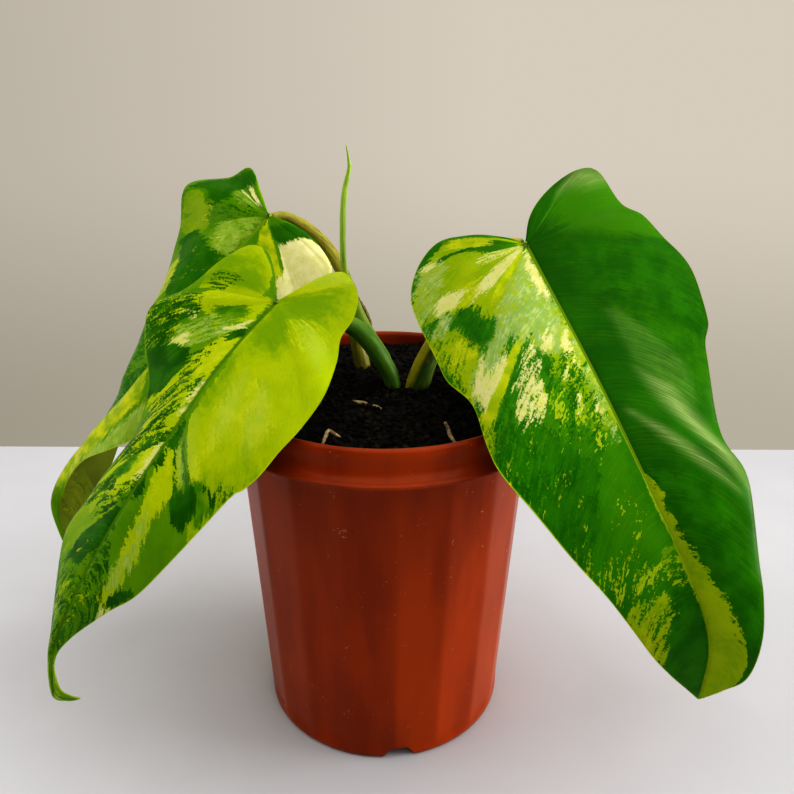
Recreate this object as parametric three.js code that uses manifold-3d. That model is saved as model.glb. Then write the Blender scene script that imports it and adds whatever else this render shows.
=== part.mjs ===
// A young variegated spadeleaf philodendron, growing in a tall fluted plastic nursery pot.
// Three arching petioles carry heart-shaped blades, and a rolled new leaf stands in its sheath.
// Millimetres, +Z up. The origin is the middle of the pot's foot, on the surface it stands on.
// -Y is the front, the side from which both big blades are seen face on.

import * as THREE from 'three';
import { mergeVertices } from 'three/addons/utils/BufferGeometryUtils.js';
import Module from 'manifold-3d';

const wasm = await Module();
wasm.setup();

// Driving dimensions
const POT_HEIGHT = 165;
const FOOT_RADIUS = 57.1;
const BODY_TOP_RADIUS = 65.5;
const BODY_TOP = 150;
const LEDGE_RADIUS = 75;
const LIP_RADIUS = 69;
const WALL = 1.9;
const FLOOR = 2.4;
const FOOT_ROUNDING = 2.5;
const FLUTES = 18;
const FLUTE_START = 4;
const FLUTE_END = 146;
const FLUTE_TURN = THREE.MathUtils.degToRad(-4.5);
const STEPS_PER_FLUTE = 3;

const NOTCHES = 4;
const NOTCH_WIDTH = 17.5;
const NOTCH_TOP_WIDTH = 8.5;
const NOTCH_HEIGHT = 6;
const NOTCH_TURN = THREE.MathUtils.degToRad(7.5);
const NOTCH_DEPTH = 12;
const NOTCH_SPARE = 1.5;
const DRAIN_HOLES = 6;
const DRAIN_RADIUS = 4.5;
const DRAIN_CIRCLE = 33;

const SOIL_LEVEL = 158;
const SOIL_TILT = 0.035;
const SOIL_LUMP = 0.7;
const SOIL_RINGS = 6;
const SOIL_SEGMENTS = 30;

const BLADE_THICKNESS = 1.3;
const GAP = 0.3;
const WELD_DISTANCE = 1e-4;

// Share of each margin, counted from the sinus, that belongs to the basal lobe
const LOBE_SHARE = 0.36;
const VEIN_SPACING_POWER = 1.2;
const BLADE_ROWS = 20;
const BLADE_COLUMNS = 6;
const VEIN_STEP = 0.02;

// Each blade: points along the midrib, and along the two margins as seen from the front.
// The midrib's first point is the sinus, where the petiole joins. camber is the height of a
// half's swelling between midrib and margin, as a share of its width, from sinus to tip.
const BLADES = {
  leaf_right: {
    rib: [
      [59, 0, 226], [82, -37, 186], [102, -63, 148], [119, -74, 115], [131, -76, 83], [133, -72, 50],
    ],
    left: [
      [51, 0, 229], [36, 0, 230], [23, -3, 228], [15, -10, 221], [11, -20, 211], [13, -28, 203],
      [21, -42, 190], [25, -49, 184], [34, -57, 178], [39, -67, 166], [44, -72, 157], [57, -75, 142],
      [72, -78, 124], [88, -80, 106], [112, -77, 73],
    ],
    right: [
      [62, 8, 238], [71, 18, 247], [83, 27, 253], [93, 30, 252], [102, 20, 240], [111, 15, 236],
      [120, 10, 227], [130, 2, 216], [135, -12, 198], [133, -20, 187], [136, -42, 160], [143, -55, 148],
      [145, -68, 129], [148, -80, 103], [148, -84, 87], [146, -82, 70], [140, -77, 59],
    ],
    camber: { left: [0.06], right: [0.06] },
  },
  leaf_front_left: {
    rib: [
      [-45, -8, 203], [-65, -35, 185], [-83, -58, 162], [-100, -71, 138], [-119, -75, 106],
      [-134, -71, 75], [-139, -68, 56], [-138, -68, 47], [-128, -70, 47],
    ],
    left: [
      [-48, 8, 213], [-52, 18, 219], [-61, 23, 220], [-73, 18, 214], [-87, 12, 204], [-103, 9, 196],
      [-104, -1, 185], [-99, -19, 171], [-101, -35, 157], [-110, -47, 145], [-120, -52, 132],
      [-128, -57, 120], [-133, -65, 96], [-137, -68, 75], [-141, -67, 57], [-141, -67, 45],
      [-135, -68, 44],
    ],
    right: [
      [-33, -4, 209], [-18, 0, 214], [-11, -8, 208], [-12, -18, 200], [-17, -27, 194], [-18, -38, 188],
      [-22, -53, 180], [-30, -63, 171], [-38, -69, 164], [-45, -73, 156], [-51, -75, 151], [-57, -76, 147],
      [-80, -82, 123], [-94, -81, 108], [-107, -78, 98], [-125, -73, 82], [-134, -70, 71], [-137, -69, 60],
      [-136, -69, 51], [-132, -70, 49],
    ],
    camber: { left: [0.06], right: [0.06] },
  },
  leaf_back_left: {
    rib: [
      [-55, 50, 228], [-76, 42, 206], [-97, 36, 180], [-120, 32, 152], [-144, 32, 126], [-163, 32, 104],
      [-172, 29, 86], [-169, 25, 70], [-160, 20, 51],
    ],
    left: [
      [-59, 58, 236], [-66, 72, 247], [-79, 82, 241], [-98, 88, 238], [-104, 86, 232], [-106, 82, 215],
      [-113, 76, 193], [-122, 72, 172], [-129, 67, 149], [-135, 61, 127], [-145, 55, 100], [-153, 49, 81],
      [-160, 42, 65], [-162, 32, 54],
    ],
    right: [
      [-41, 46, 223], [-30, 40, 215], [-24, 32, 203], [-34, 23, 183], [-57, 17, 177], [-80, 10, 166],
      [-95, 4, 149], [-106, 2, 139], [-116, 2, 134], [-128, 4, 128], [-147, 14, 116], [-161, 25, 98],
      [-168, 27, 81], [-165, 22, 65],
    ],
    camber: { left: [0.05, 0.05, 0.08, 0.15, 0.19, 0.08, 0.06], right: [0.06] },
  },
};

// Each stalk: points from its root end to its far end, and its radius at even steps along it
const STALK_STEP = 7;
const STALKS = {
  petiole_right: {
    route: [
      [14, 11, 150], [15, 10, 157], [18, 10, 168], [24, 11, 181], [34, 13, 198], [46, 13, 214],
      [53, 9, 223], [59, 2, 226],
    ],
    radii: [6.2, 5.4, 4.6, 4, 3.6, 3.4, 3.9, 3.6],
    sides: 10,
  },
  petiole_front_left: {
    route: [
      [4, 9, 150], [4, 8, 158], [2, 8, 166], [-2, 8, 173], [-7, 8, 181], [-14, 7, 188], [-25, 4, 193],
      [-37, -2, 198], [-44, -5, 201],
    ],
    radii: [3.5, 3.6, 4, 4.3, 4.3, 4, 3.6, 3.2, 2.8],
    sides: 10,
  },
  petiole_back_left: {
    route: [
      [-10, 31, 150], [-11, 32, 160], [-14, 33, 175], [-17, 35, 189], [-19, 40, 200], [-24, 45, 209],
      [-31, 50, 217], [-40, 54, 223], [-49, 54, 227], [-55, 51, 227],
    ],
    radii: [4.2, 3.8, 3.5, 3.3, 3.2, 3.1, 3, 2.9, 2.9, 2.6],
    sides: 10,
  },
  shoot_sheath: {
    route: [
      [3, 16, 150], [3, 16, 157], [0, 15, 169], [-7, 15, 181], [-11, 15, 189], [-14, 15, 197], [-16, 15, 205],
    ],
    radii: [3.6, 3.6, 3.6, 3.5, 3.4, 3, 2.2],
    sides: 10,
  },
  new_leaf_spear: {
    route: [
      [-13, 15, 194], [-16, 16, 203], [-18, 16, 214], [-18, 16, 232], [-17, 16, 245], [-15, 16, 254],
      [-15, 16, 258], [-16, 16, 264],
    ],
    radii: [1.3, 1.5, 1.5, 1.4, 1.4, 1.3, 0.9, 0.3],
    sides: 8,
  },
};

// Nodes that each stalk is cut back from, so that it stops short of them
const STALK_NEIGHBOURS = {
  petiole_right: ['leaf_right'],
  petiole_front_left: ['leaf_front_left', 'petiole_right'],
  petiole_back_left: ['leaf_back_left'],
  shoot_sheath: ['petiole_right', 'petiole_front_left', 'new_leaf_spear'],
};

// The buried rootstock: its short stem, and main roots given by their angle about Z in degrees,
// the reach outwards and the depth reached
const BURIED_STEM = {
  route: [[16, 4, 143], [8, 14, 145], [-2, 26, 145], [-10, 36, 143]],
  radii: [7, 9, 8.5, 6.5],
  sides: 8,
};
const ROOT_CENTRE = [2, 20, 140];
const ROOT_STEP = 16;
const ROOT_RADII = [3.4, 2.8, 2.4, 2, 1.2];
const ROOTS = [
  { angle: 20, reach: 42, depth: 92 },
  { angle: 95, reach: 30, depth: 112 },
  { angle: 165, reach: 44, depth: 76 },
  { angle: 235, reach: 50, depth: 104 },
  { angle: 300, reach: 46, depth: 82 },
];
// Course of a main root: share of its reach, and share of its depth
const ROOT_COURSE = [[0.45, 0.12], [0.85, 0.4], [1, 0.75], [0.9, 1]];

// Pale root ends lying on the soil: x, y, and height above the soil's surface
const SURFACE_ROOT_RADII = [0.6, 0.9, 0.8, 0.5];
const SURFACE_ROOTS = {
  surface_root_1: [
    [-14, -6, 0.2], [-11, -11, 0.9], [-8, -12, 0.8], [-6, -13, -0.6], [-4, -14, 0.8], [-1, -15, 0.2],
  ],
  surface_root_2: [
    [-24, -47, 0.2], [-23, -43, 1.2], [-22, -39, 1.6], [-20, -40, 1.3], [-18, -41, 0.9], [-16, -42, 0.2],
  ],
  surface_root_3: [[25, -40, 6], [26, -42, 4.4], [27, -44, 2], [29, -47, 0.6], [32, -47, 0.2]],
};

// The dry flake left of an older sheath: its middle line, half width, curl and thickness
const FLAKE = {
  route: [[-5, 17.5, 186], [-8, 17.5, 191], [-10, 17.5, 195], [-12, 17.5, 198]],
  halfWidth: 0.9,
  curl: 0.8,
  tilt: 0.6,
  thickness: 0.8,
  rows: 5,
};

const FINISHES = {
  pot: { colour: [0.47, 0.13, 0.05], roughness: 0.35 },
  soil: { colour: [0.03, 0.025, 0.02], roughness: 1 },
  root: { colour: [0.6, 0.5, 0.3], roughness: 0.8 },
  blade: { colour: [0.14, 0.36, 0.04], roughness: 0.35 },
  petiole: { colour: [0.25, 0.42, 0.1], roughness: 0.4 },
  sheath: { colour: [0.4, 0.55, 0.15], roughness: 0.45 },
  spear: { colour: [0.35, 0.6, 0.15], roughness: 0.4 },
  husk: { colour: [0.4, 0.28, 0.14], roughness: 0.9 },
};

const material = ({ colour, roughness }) => new THREE.MeshStandardMaterial({
  color: new THREE.Color(...colour), roughness, metalness: 0,
});

const vector = ([x, y, z]) => new THREE.Vector3(x, y, z);

const smoothCurve = (points) => new THREE.CatmullRomCurve3(points.map(vector), false, 'catmullrom', 0.5);

// Value at share t of a list of values set at even steps
function stepped(values, t) {
  const place = t * (values.length - 1);
  const low = Math.min(Math.floor(place), Math.max(values.length - 2, 0));
  const high = Math.min(low + 1, values.length - 1);
  return THREE.MathUtils.lerp(values[low], values[high], place - low);
}

function meshGeometry(points, triangles) {
  const geometry = new THREE.BufferGeometry();
  const numbers = points.flatMap((point) => [point.x, point.y, point.z]);
  geometry.setAttribute('position', new THREE.Float32BufferAttribute(numbers, 3));
  geometry.setIndex(triangles.flat());
  geometry.computeVertexNormals();
  return geometry;
}

function solidOf(geometry) {
  const bare = geometry.clone();
  bare.deleteAttribute('normal');
  bare.deleteAttribute('uv');
  const merged = mergeVertices(bare, WELD_DISTANCE);
  return new wasm.Manifold(new wasm.Mesh({
    numProp: 3,
    vertProperties: new Float32Array(merged.attributes.position.array),
    triVerts: new Uint32Array(merged.index.array),
  }));
}

function geometryOf(solid) {
  const mesh = solid.getMesh();
  const geometry = new THREE.BufferGeometry();
  geometry.setAttribute('position', new THREE.Float32BufferAttribute(mesh.vertProperties, 3));
  geometry.setIndex([...mesh.triVerts]);
  geometry.computeVertexNormals();
  return geometry;
}

// The biggest of the separate lumps that a cut leaves
function mainLump(solid) {
  return solid.decompose().reduce((best, lump) => (lump.volume() > best.volume() ? lump : best));
}

function cutFrom(solid, cutters) {
  return cutters.reduce((left, cutter) => left.subtract(cutter), solid);
}

// A closed solid of revolution about Z from [radius, height] points that start and end on the axis.
// reshape(radius, height, angle) may draw a point in or out, which gives the flutes.
function turned(profile, segments, reshape = (radius) => radius) {
  const points = [];
  const triangles = [];
  const last = profile.length - 1;
  const ring = (k) => 2 + (k - 1) * segments;
  points.push(new THREE.Vector3(0, 0, profile[0][1]), new THREE.Vector3(0, 0, profile[last][1]));
  for (let k = 1; k < last; k += 1) {
    const [radius, height] = profile[k];
    for (let s = 0; s < segments; s += 1) {
      const angle = (s / segments) * Math.PI * 2;
      const r = reshape(radius, height, angle);
      points.push(new THREE.Vector3(r * Math.cos(angle), r * Math.sin(angle), height));
    }
  }
  for (let s = 0; s < segments; s += 1) {
    const next = (s + 1) % segments;
    triangles.push([0, ring(1) + next, ring(1) + s]);
    for (let k = 1; k < last - 1; k += 1) {
      triangles.push([ring(k) + s, ring(k) + next, ring(k + 1) + next]);
      triangles.push([ring(k) + s, ring(k + 1) + next, ring(k + 1) + s]);
    }
    triangles.push([1, ring(last - 1) + s, ring(last - 1) + next]);
  }
  return meshGeometry(points, triangles);
}

// Round tube along a smooth route, with radii at even steps along it and flat ends.
// spare makes it that much thicker all round, for cutting its neighbours back.
function stalk({ route, radii, sides, step = STALK_STEP }, spare = 0) {
  const curve = smoothCurve(route);
  const steps = Math.max(5, Math.round(curve.getLength() / step));
  const frames = curve.computeFrenetFrames(steps, false);
  const points = [];
  const triangles = [];
  for (let i = 0; i <= steps; i += 1) {
    const centre = curve.getPointAt(i / steps);
    const radius = stepped(radii, i / steps) + spare;
    for (let s = 0; s < sides; s += 1) {
      const angle = (s / sides) * Math.PI * 2;
      points.push(centre.clone()
        .addScaledVector(frames.normals[i], radius * Math.cos(angle))
        .addScaledVector(frames.binormals[i], radius * Math.sin(angle)));
    }
  }
  const start = points.push(curve.getPointAt(0).addScaledVector(frames.tangents[0], -spare)) - 1;
  const end = points.push(curve.getPointAt(1).addScaledVector(frames.tangents[steps], spare)) - 1;
  for (let s = 0; s < sides; s += 1) {
    const next = (s + 1) % sides;
    triangles.push([start, next, s]);
    for (let i = 0; i < steps; i += 1) {
      const a = i * sides;
      const b = a + sides;
      triangles.push([a + s, a + next, b + next]);
      triangles.push([a + s, b + next, b + s]);
    }
    triangles.push([end, steps * sides + s, steps * sides + next]);
  }
  return meshGeometry(points, triangles);
}

// Gives an open sheet of triangles a thickness, half to each side, and closes its edge.
// spare makes it that much larger all round, for cutting its neighbours back.
function thickened(points, triangles, thickness, spare = 0) {
  const normals = meshGeometry(points, triangles).attributes.normal;
  const normal = (i) => new THREE.Vector3().fromBufferAttribute(normals, i);
  const sides = new Set(triangles.flatMap(([a, b, c]) => [`${a} ${b}`, `${b} ${c}`, `${c} ${a}`]));
  const edges = [...sides].map((side) => side.split(' ')).filter(([a, b]) => !sides.has(`${b} ${a}`));
  const outward = points.map(() => new THREE.Vector3());
  edges.forEach(([a, b]) => {
    const out = points[b].clone().sub(points[a]).normalize().cross(normal(Number(a)));
    outward[a].add(out);
    outward[b].add(out);
  });
  const half = thickness / 2 + spare;
  const layer = (height) => points.map((point, i) => point.clone()
    .addScaledVector(outward[i].normalize(), spare)
    .addScaledVector(normal(i), height));
  const count = points.length;
  const faces = triangles.flatMap(([a, b, c]) => [[a, b, c], [a + count, c + count, b + count]]);
  edges.map((edge) => edge.map(Number)).forEach(([a, b]) => {
    faces.push([a, a + count, b + count], [a, b + count, b]);
  });
  return meshGeometry([...layer(half), ...layer(-half)], faces);
}

// Share of the midrib reached by the vein that ends at share v of the margin
function ribShare(v) {
  return (Math.max(0, v - LOBE_SHARE) / (1 - LOBE_SHARE)) ** VEIN_SPACING_POWER;
}

// A blade's middle surface, as veins from the midrib to each margin
function bladeSheet({ rib, left, right, camber }) {
  const ribCurve = smoothCurve(rib);
  const points = [ribCurve.getPointAt(0), ribCurve.getPointAt(1)];
  const triangles = [];
  const ribIndex = new Map();
  for (let i = 1; i < BLADE_ROWS; i += 1) {
    const share = ribShare(i / BLADE_ROWS);
    ribIndex.set(i, share > 0 ? points.push(ribCurve.getPointAt(share)) - 1 : 0);
  }
  [[left, camber.left, false], [right, camber.right, true]].forEach(([margin, swelling, isRight]) => {
    const marginCurve = smoothCurve([rib[0], ...margin, rib[rib.length - 1]]);
    const ends = (v) => {
      const t = THREE.MathUtils.clamp(v, 0, 1);
      return [ribCurve.getPointAt(ribShare(t)), marginCurve.getPointAt(t)];
    };
    const at = (i, j) => (j === 0 ? ribIndex.get(i) : first + (i - 1) * BLADE_COLUMNS + j - 1);
    const first = points.length;
    for (let i = 1; i < BLADE_ROWS; i += 1) {
      const v = i / BLADE_ROWS;
      const [inner, outer] = ends(v);
      const [innerBefore, outerBefore] = ends(v - VEIN_STEP);
      const [innerAfter, outerAfter] = ends(v + VEIN_STEP);
      const onward = innerAfter.add(outerAfter).sub(innerBefore).sub(outerBefore);
      const across = outer.clone().sub(inner);
      const face = isRight
        ? onward.clone().cross(across).normalize()
        : across.clone().cross(onward).normalize();
      const height = stepped(swelling, v) * across.length();
      for (let j = 1; j <= BLADE_COLUMNS; j += 1) {
        const w = j / BLADE_COLUMNS;
        points.push(inner.clone().addScaledVector(across, w).addScaledVector(face, height * 4 * w * (1 - w)));
      }
    }
    const add = (a, b, c) => {
      if (a !== b && b !== c && c !== a) triangles.push(isRight ? [a, b, c] : [a, c, b]);
    };
    for (let i = 1; i < BLADE_ROWS - 1; i += 1) {
      for (let j = 0; j < BLADE_COLUMNS; j += 1) {
        add(at(i, j), at(i + 1, j), at(i + 1, j + 1));
        add(at(i, j), at(i + 1, j + 1), at(i, j + 1));
      }
    }
    for (let j = 0; j < BLADE_COLUMNS; j += 1) add(at(BLADE_ROWS - 1, j), 1, at(BLADE_ROWS - 1, j + 1));
  });
  return { points, triangles };
}

function blade(shape, spare = 0) {
  const { points, triangles } = bladeSheet(shape);
  return thickened(points, triangles, BLADE_THICKNESS, spare);
}

// Pot: a fluted tapering wall under a round collar with a hollow groove and a thin ledge
function innerRadius(height) {
  return THREE.MathUtils.lerp(FOOT_RADIUS, BODY_TOP_RADIUS, height / BODY_TOP) - WALL;
}

// Draws the wall in to flat panels between its corners, which fade out at the foot and the ledge
function fluted(radius, height, angle) {
  const onWall = radius > innerRadius(height) + WALL / 2 && radius > FOOT_RADIUS - WALL;
  if (!onWall || height < FLUTE_START || height > FLUTE_END) return radius;
  const panel = (Math.PI * 2) / FLUTES;
  const fromMiddle = (angle % panel) - panel / 2;
  return (radius * Math.cos(panel / 2)) / Math.cos(fromMiddle);
}

function drainNotch(spare) {
  const outline = new THREE.Shape();
  outline.moveTo(-NOTCH_WIDTH / 2 - spare, -1);
  outline.lineTo(NOTCH_WIDTH / 2 + spare, -1);
  outline.lineTo(NOTCH_TOP_WIDTH / 2 + spare, NOTCH_HEIGHT + spare);
  outline.lineTo(-NOTCH_TOP_WIDTH / 2 - spare, NOTCH_HEIGHT + spare);
  outline.closePath();
  const block = new THREE.ExtrudeGeometry(outline, { depth: NOTCH_DEPTH, bevelEnabled: false });
  block.rotateX(Math.PI / 2);
  block.translate(0, NOTCH_DEPTH / 2 - FOOT_RADIUS + spare, 0);
  return block;
}

function drainNotches(spare = 0) {
  return Array.from({ length: NOTCHES }, (_, k) => {
    const block = drainNotch(spare);
    block.rotateZ(NOTCH_TURN + (k / NOTCHES) * Math.PI * 2);
    return solidOf(block);
  });
}

function drainHoles() {
  return Array.from({ length: DRAIN_HOLES }, (_, k) => {
    const hole = new THREE.CylinderGeometry(DRAIN_RADIUS, DRAIN_RADIUS, 3 * FLOOR, 12);
    hole.rotateX(Math.PI / 2);
    const angle = ((k + 0.5) / DRAIN_HOLES) * Math.PI * 2;
    hole.translate(DRAIN_CIRCLE * Math.cos(angle), DRAIN_CIRCLE * Math.sin(angle), FLOOR / 2);
    return solidOf(hole);
  });
}

// Outline from the middle of the foot up the outside, over the lip and down the inside
function potOutline() {
  const outside = (height) => [innerRadius(height) + WALL, height];
  const inside = (height) => [innerRadius(height), height];
  const foot = [[0, 0], [FOOT_RADIUS - FOOT_ROUNDING, 0], [FOOT_RADIUS - 0.7, 0.7]];
  const ledge = [
    [BODY_TOP_RADIUS, BODY_TOP], [LEDGE_RADIUS - 1.2, BODY_TOP + 0.6], [LEDGE_RADIUS, BODY_TOP + 1.6],
    [LEDGE_RADIUS, BODY_TOP + 2.4], [LEDGE_RADIUS - 2.2, BODY_TOP + 3.2],
  ];
  const groove = [[LIP_RADIUS + 1.6, BODY_TOP + 5.2], [LIP_RADIUS + 1, BODY_TOP + 8.2]];
  const lip = [
    [LIP_RADIUS + 1.3, BODY_TOP + 11.5], [LIP_RADIUS + 1, POT_HEIGHT - 1.4], [LIP_RADIUS, POT_HEIGHT],
    [LIP_RADIUS - 1.8, POT_HEIGHT - 0.4], [LIP_RADIUS - 2.6, POT_HEIGHT - 2.6],
    [innerRadius(BODY_TOP) + 0.6, BODY_TOP + 1],
  ];
  const floor = [[innerRadius(FLOOR) - 1.2, FLOOR + 0.8], [innerRadius(FLOOR) - 3, FLOOR], [0, FLOOR]];
  return [
    ...foot, ...[3, 8, 55, 100, 142].map(outside), ...ledge, ...groove, ...lip,
    ...[100, 50].map(inside), ...floor,
  ];
}

function pot() {
  const wall = turned(potOutline(), FLUTES * STEPS_PER_FLUTE, fluted);
  wall.rotateZ(FLUTE_TURN);
  return geometryOf(cutFrom(solidOf(wall), [...drainNotches(), ...drainHoles()]));
}

// Soil: fills the pot to a lumpy surface that rises a little to the back
function soilHeight(x, y) {
  const lumps = Math.sin(x * 0.21 + 1) * Math.cos(y * 0.17) + 0.6 * Math.sin(x * 0.09 - y * 0.13);
  return SOIL_LEVEL + SOIL_TILT * y + SOIL_LUMP * lumps;
}

function soil(cutters) {
  const inset = (height) => innerRadius(height) - 2 * GAP;
  const rim = inset(SOIL_LEVEL) + 1;
  const profile = [
    [0, FLOOR + GAP], [inset(FLOOR) - 3.6, FLOOR + GAP], [inset(FLOOR) - 2, FLOOR + 2], [inset(50), 50],
    [inset(100), 100], [inset(BODY_TOP), BODY_TOP],
  ];
  for (let k = SOIL_RINGS; k >= 0; k -= 1) profile.push([(rim * k) / SOIL_RINGS, SOIL_LEVEL]);
  const geometry = turned(profile, SOIL_SEGMENTS);
  const position = geometry.attributes.position;
  for (let i = 0; i < position.count; i += 1) {
    if (position.getZ(i) === SOIL_LEVEL) {
      position.setZ(i, soilHeight(position.getX(i), position.getY(i)));
    }
  }
  return geometryOf(mainLump(cutFrom(solidOf(geometry), cutters)));
}

// Rootstock: the short buried stem with its main roots, grown as one piece. The roots start at
// the stem and spread towards a circle about the pot's axis.
function rootstock(spare = 0) {
  const [x, y, z] = ROOT_CENTRE;
  return ROOTS.reduce((whole, { angle, reach, depth }) => {
    const turn = THREE.MathUtils.degToRad(angle);
    const course = ROOT_COURSE.map(([out, down]) => [
      x + reach * out * Math.cos(turn), y * (1 - out) + reach * out * Math.sin(turn), z - depth * down,
    ]);
    const root = { route: [ROOT_CENTRE, ...course], radii: ROOT_RADII, sides: 6, step: ROOT_STEP };
    return whole.add(solidOf(stalk(root, spare)));
  }, solidOf(stalk(BURIED_STEM, spare)));
}

function surfaceRoot(name, spare = 0) {
  const route = SURFACE_ROOTS[name].map(([x, y, rise]) => [x, y, soilHeight(x, y) + rise]);
  return solidOf(stalk({ route, radii: SURFACE_ROOT_RADII, sides: 6 }, spare));
}

// The dry flake: two strips that meet in a shallow crease along its middle
function dryFlake({ route, halfWidth, curl, tilt, thickness, rows }) {
  const middle = smoothCurve(route);
  const points = [];
  const triangles = [];
  for (let i = 0; i <= rows; i += 1) {
    const t = i / rows;
    const centre = middle.getPointAt(t);
    const width = halfWidth * Math.sin(Math.PI * (0.2 + 0.7 * t));
    points.push(
      centre.clone().add(new THREE.Vector3(-width, curl, -width * tilt)),
      centre,
      centre.clone().add(new THREE.Vector3(width, curl, width * tilt)),
    );
  }
  for (let i = 0; i < rows; i += 1) {
    const a = i * 3;
    triangles.push([a, a + 1, a + 4], [a, a + 4, a + 3], [a + 1, a + 2, a + 5], [a + 1, a + 5, a + 4]);
  }
  return thickened(points, triangles, thickness);
}

const stalkSolid = (name, spare = 0) => solidOf(stalk(STALKS[name], spare));
const bladeSolid = (name, spare = 0) => solidOf(blade(BLADES[name], spare));

// A stalk with its buried end cut off by the rootstock, stopping short of its neighbours
function trimmedStalk(name) {
  const cutters = STALK_NEIGHBOURS[name].map((other) => (
    other in BLADES ? bladeSolid(other, 2 * GAP) : stalkSolid(other, GAP)));
  return geometryOf(mainLump(cutFrom(stalkSolid(name), [rootstock(GAP), ...cutters])));
}

const plant = new THREE.Group();

function addPiece(name, geometry, finish) {
  const mesh = new THREE.Mesh(geometry, material(finish));
  mesh.name = name;
  plant.add(mesh);
}

addPiece('pot', pot(), FINISHES.pot);
addPiece('potting_mix', soil([
  rootstock(GAP),
  ...Object.keys(STALK_NEIGHBOURS).map((name) => stalkSolid(name, GAP)),
  ...Object.keys(SURFACE_ROOTS).map((name) => surfaceRoot(name, GAP)),
  ...drainNotches(NOTCH_SPARE),
]), FINISHES.soil);
addPiece('rootstock', geometryOf(rootstock()), FINISHES.root);
Object.keys(SURFACE_ROOTS).forEach((name) => {
  addPiece(name, geometryOf(surfaceRoot(name)), FINISHES.root);
});

Object.keys(STALK_NEIGHBOURS).forEach((name) => {
  addPiece(name, trimmedStalk(name), name === 'shoot_sheath' ? FINISHES.sheath : FINISHES.petiole);
});
addPiece('new_leaf_spear', geometryOf(stalkSolid('new_leaf_spear')), FINISHES.spear);
addPiece('dry_sheath_edge', dryFlake(FLAKE), FINISHES.husk);

Object.keys(BLADES).forEach((name) => addPiece(name, blade(BLADES[name]), FINISHES.blade));

export default plant;
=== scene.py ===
"""A young variegated spadeleaf philodendron in a tall fluted nursery pot.

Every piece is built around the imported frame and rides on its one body. Routes and outlines are
given in millimetres in the frame's axes, and every mesh is written in metres. Colours are given
as display values from 0 to 255.
"""

import logging
import math
from dataclasses import dataclass, field
from enum import Enum
from typing import Sequence

import bpy
import numpy as np
from bpy.types import Material, Node, NodeSocket, NodeTree, Object
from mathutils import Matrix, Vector, noise


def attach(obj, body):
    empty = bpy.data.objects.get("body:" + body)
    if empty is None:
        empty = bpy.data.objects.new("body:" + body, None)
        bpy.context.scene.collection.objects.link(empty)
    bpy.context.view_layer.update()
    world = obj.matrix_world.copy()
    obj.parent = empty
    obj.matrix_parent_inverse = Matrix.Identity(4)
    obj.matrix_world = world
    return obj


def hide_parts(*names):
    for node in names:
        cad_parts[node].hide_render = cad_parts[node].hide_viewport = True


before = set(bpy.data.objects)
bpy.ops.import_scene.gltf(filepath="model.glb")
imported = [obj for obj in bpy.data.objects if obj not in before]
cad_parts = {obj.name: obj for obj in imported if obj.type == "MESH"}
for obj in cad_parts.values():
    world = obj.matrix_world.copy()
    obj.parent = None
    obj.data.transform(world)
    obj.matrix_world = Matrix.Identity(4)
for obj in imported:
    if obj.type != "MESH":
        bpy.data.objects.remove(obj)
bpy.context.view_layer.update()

BODY = "root"
MM = 0.001

Point = tuple[float, float, float]
Colour = tuple[float, float, float]
Array = np.ndarray
Feed = NodeSocket | float | tuple

log = logging.getLogger("philodendron")


def linear(colour: Colour) -> tuple[float, float, float, float]:
    """Turns a display colour into the linear one that a shader reads.

    Args:
        colour: Red, green and blue from 0 to 255.

    Returns:
        Linear red, green and blue, and an alpha of 1.
    """
    shares = [channel / 255 for channel in colour]
    return (*(s / 12.92 if s <= 0.04045 else ((s + 0.055) / 1.055) ** 2.4 for s in shares), 1.0)


def smooth_step(value: Array, low: float, high: float) -> Array:
    """Rises smoothly from 0 at low to 1 at high.

    Args:
        value: The values to map.
        low: Where the rise starts.
        high: Where the rise ends.

    Returns:
        The mapped values, from 0 to 1.
    """
    share = np.clip((np.asarray(value, float) - low) / (high - low), 0, 1)
    return share * share * (3 - 2 * share)


def rough(points: Array, size: float, octaves: int = 3, seed: float = 0.0) -> Array:
    """Samples smooth noise at points.

    Args:
        points: Places in millimetres, one per row.
        size: Width of the largest lumps, in millimetres.
        octaves: How many finer layers are added.
        seed: Moves the sample, so that two uses differ.

    Returns:
        One value per point, mostly from -1 to 1.
    """
    shift = Vector((seed, seed * 0.7, -seed * 1.3))
    return np.array([
        noise.fractal(Vector(point) / size + shift, 0.8, 2.1, octaves) for point in np.asarray(points, float)
    ])


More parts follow.
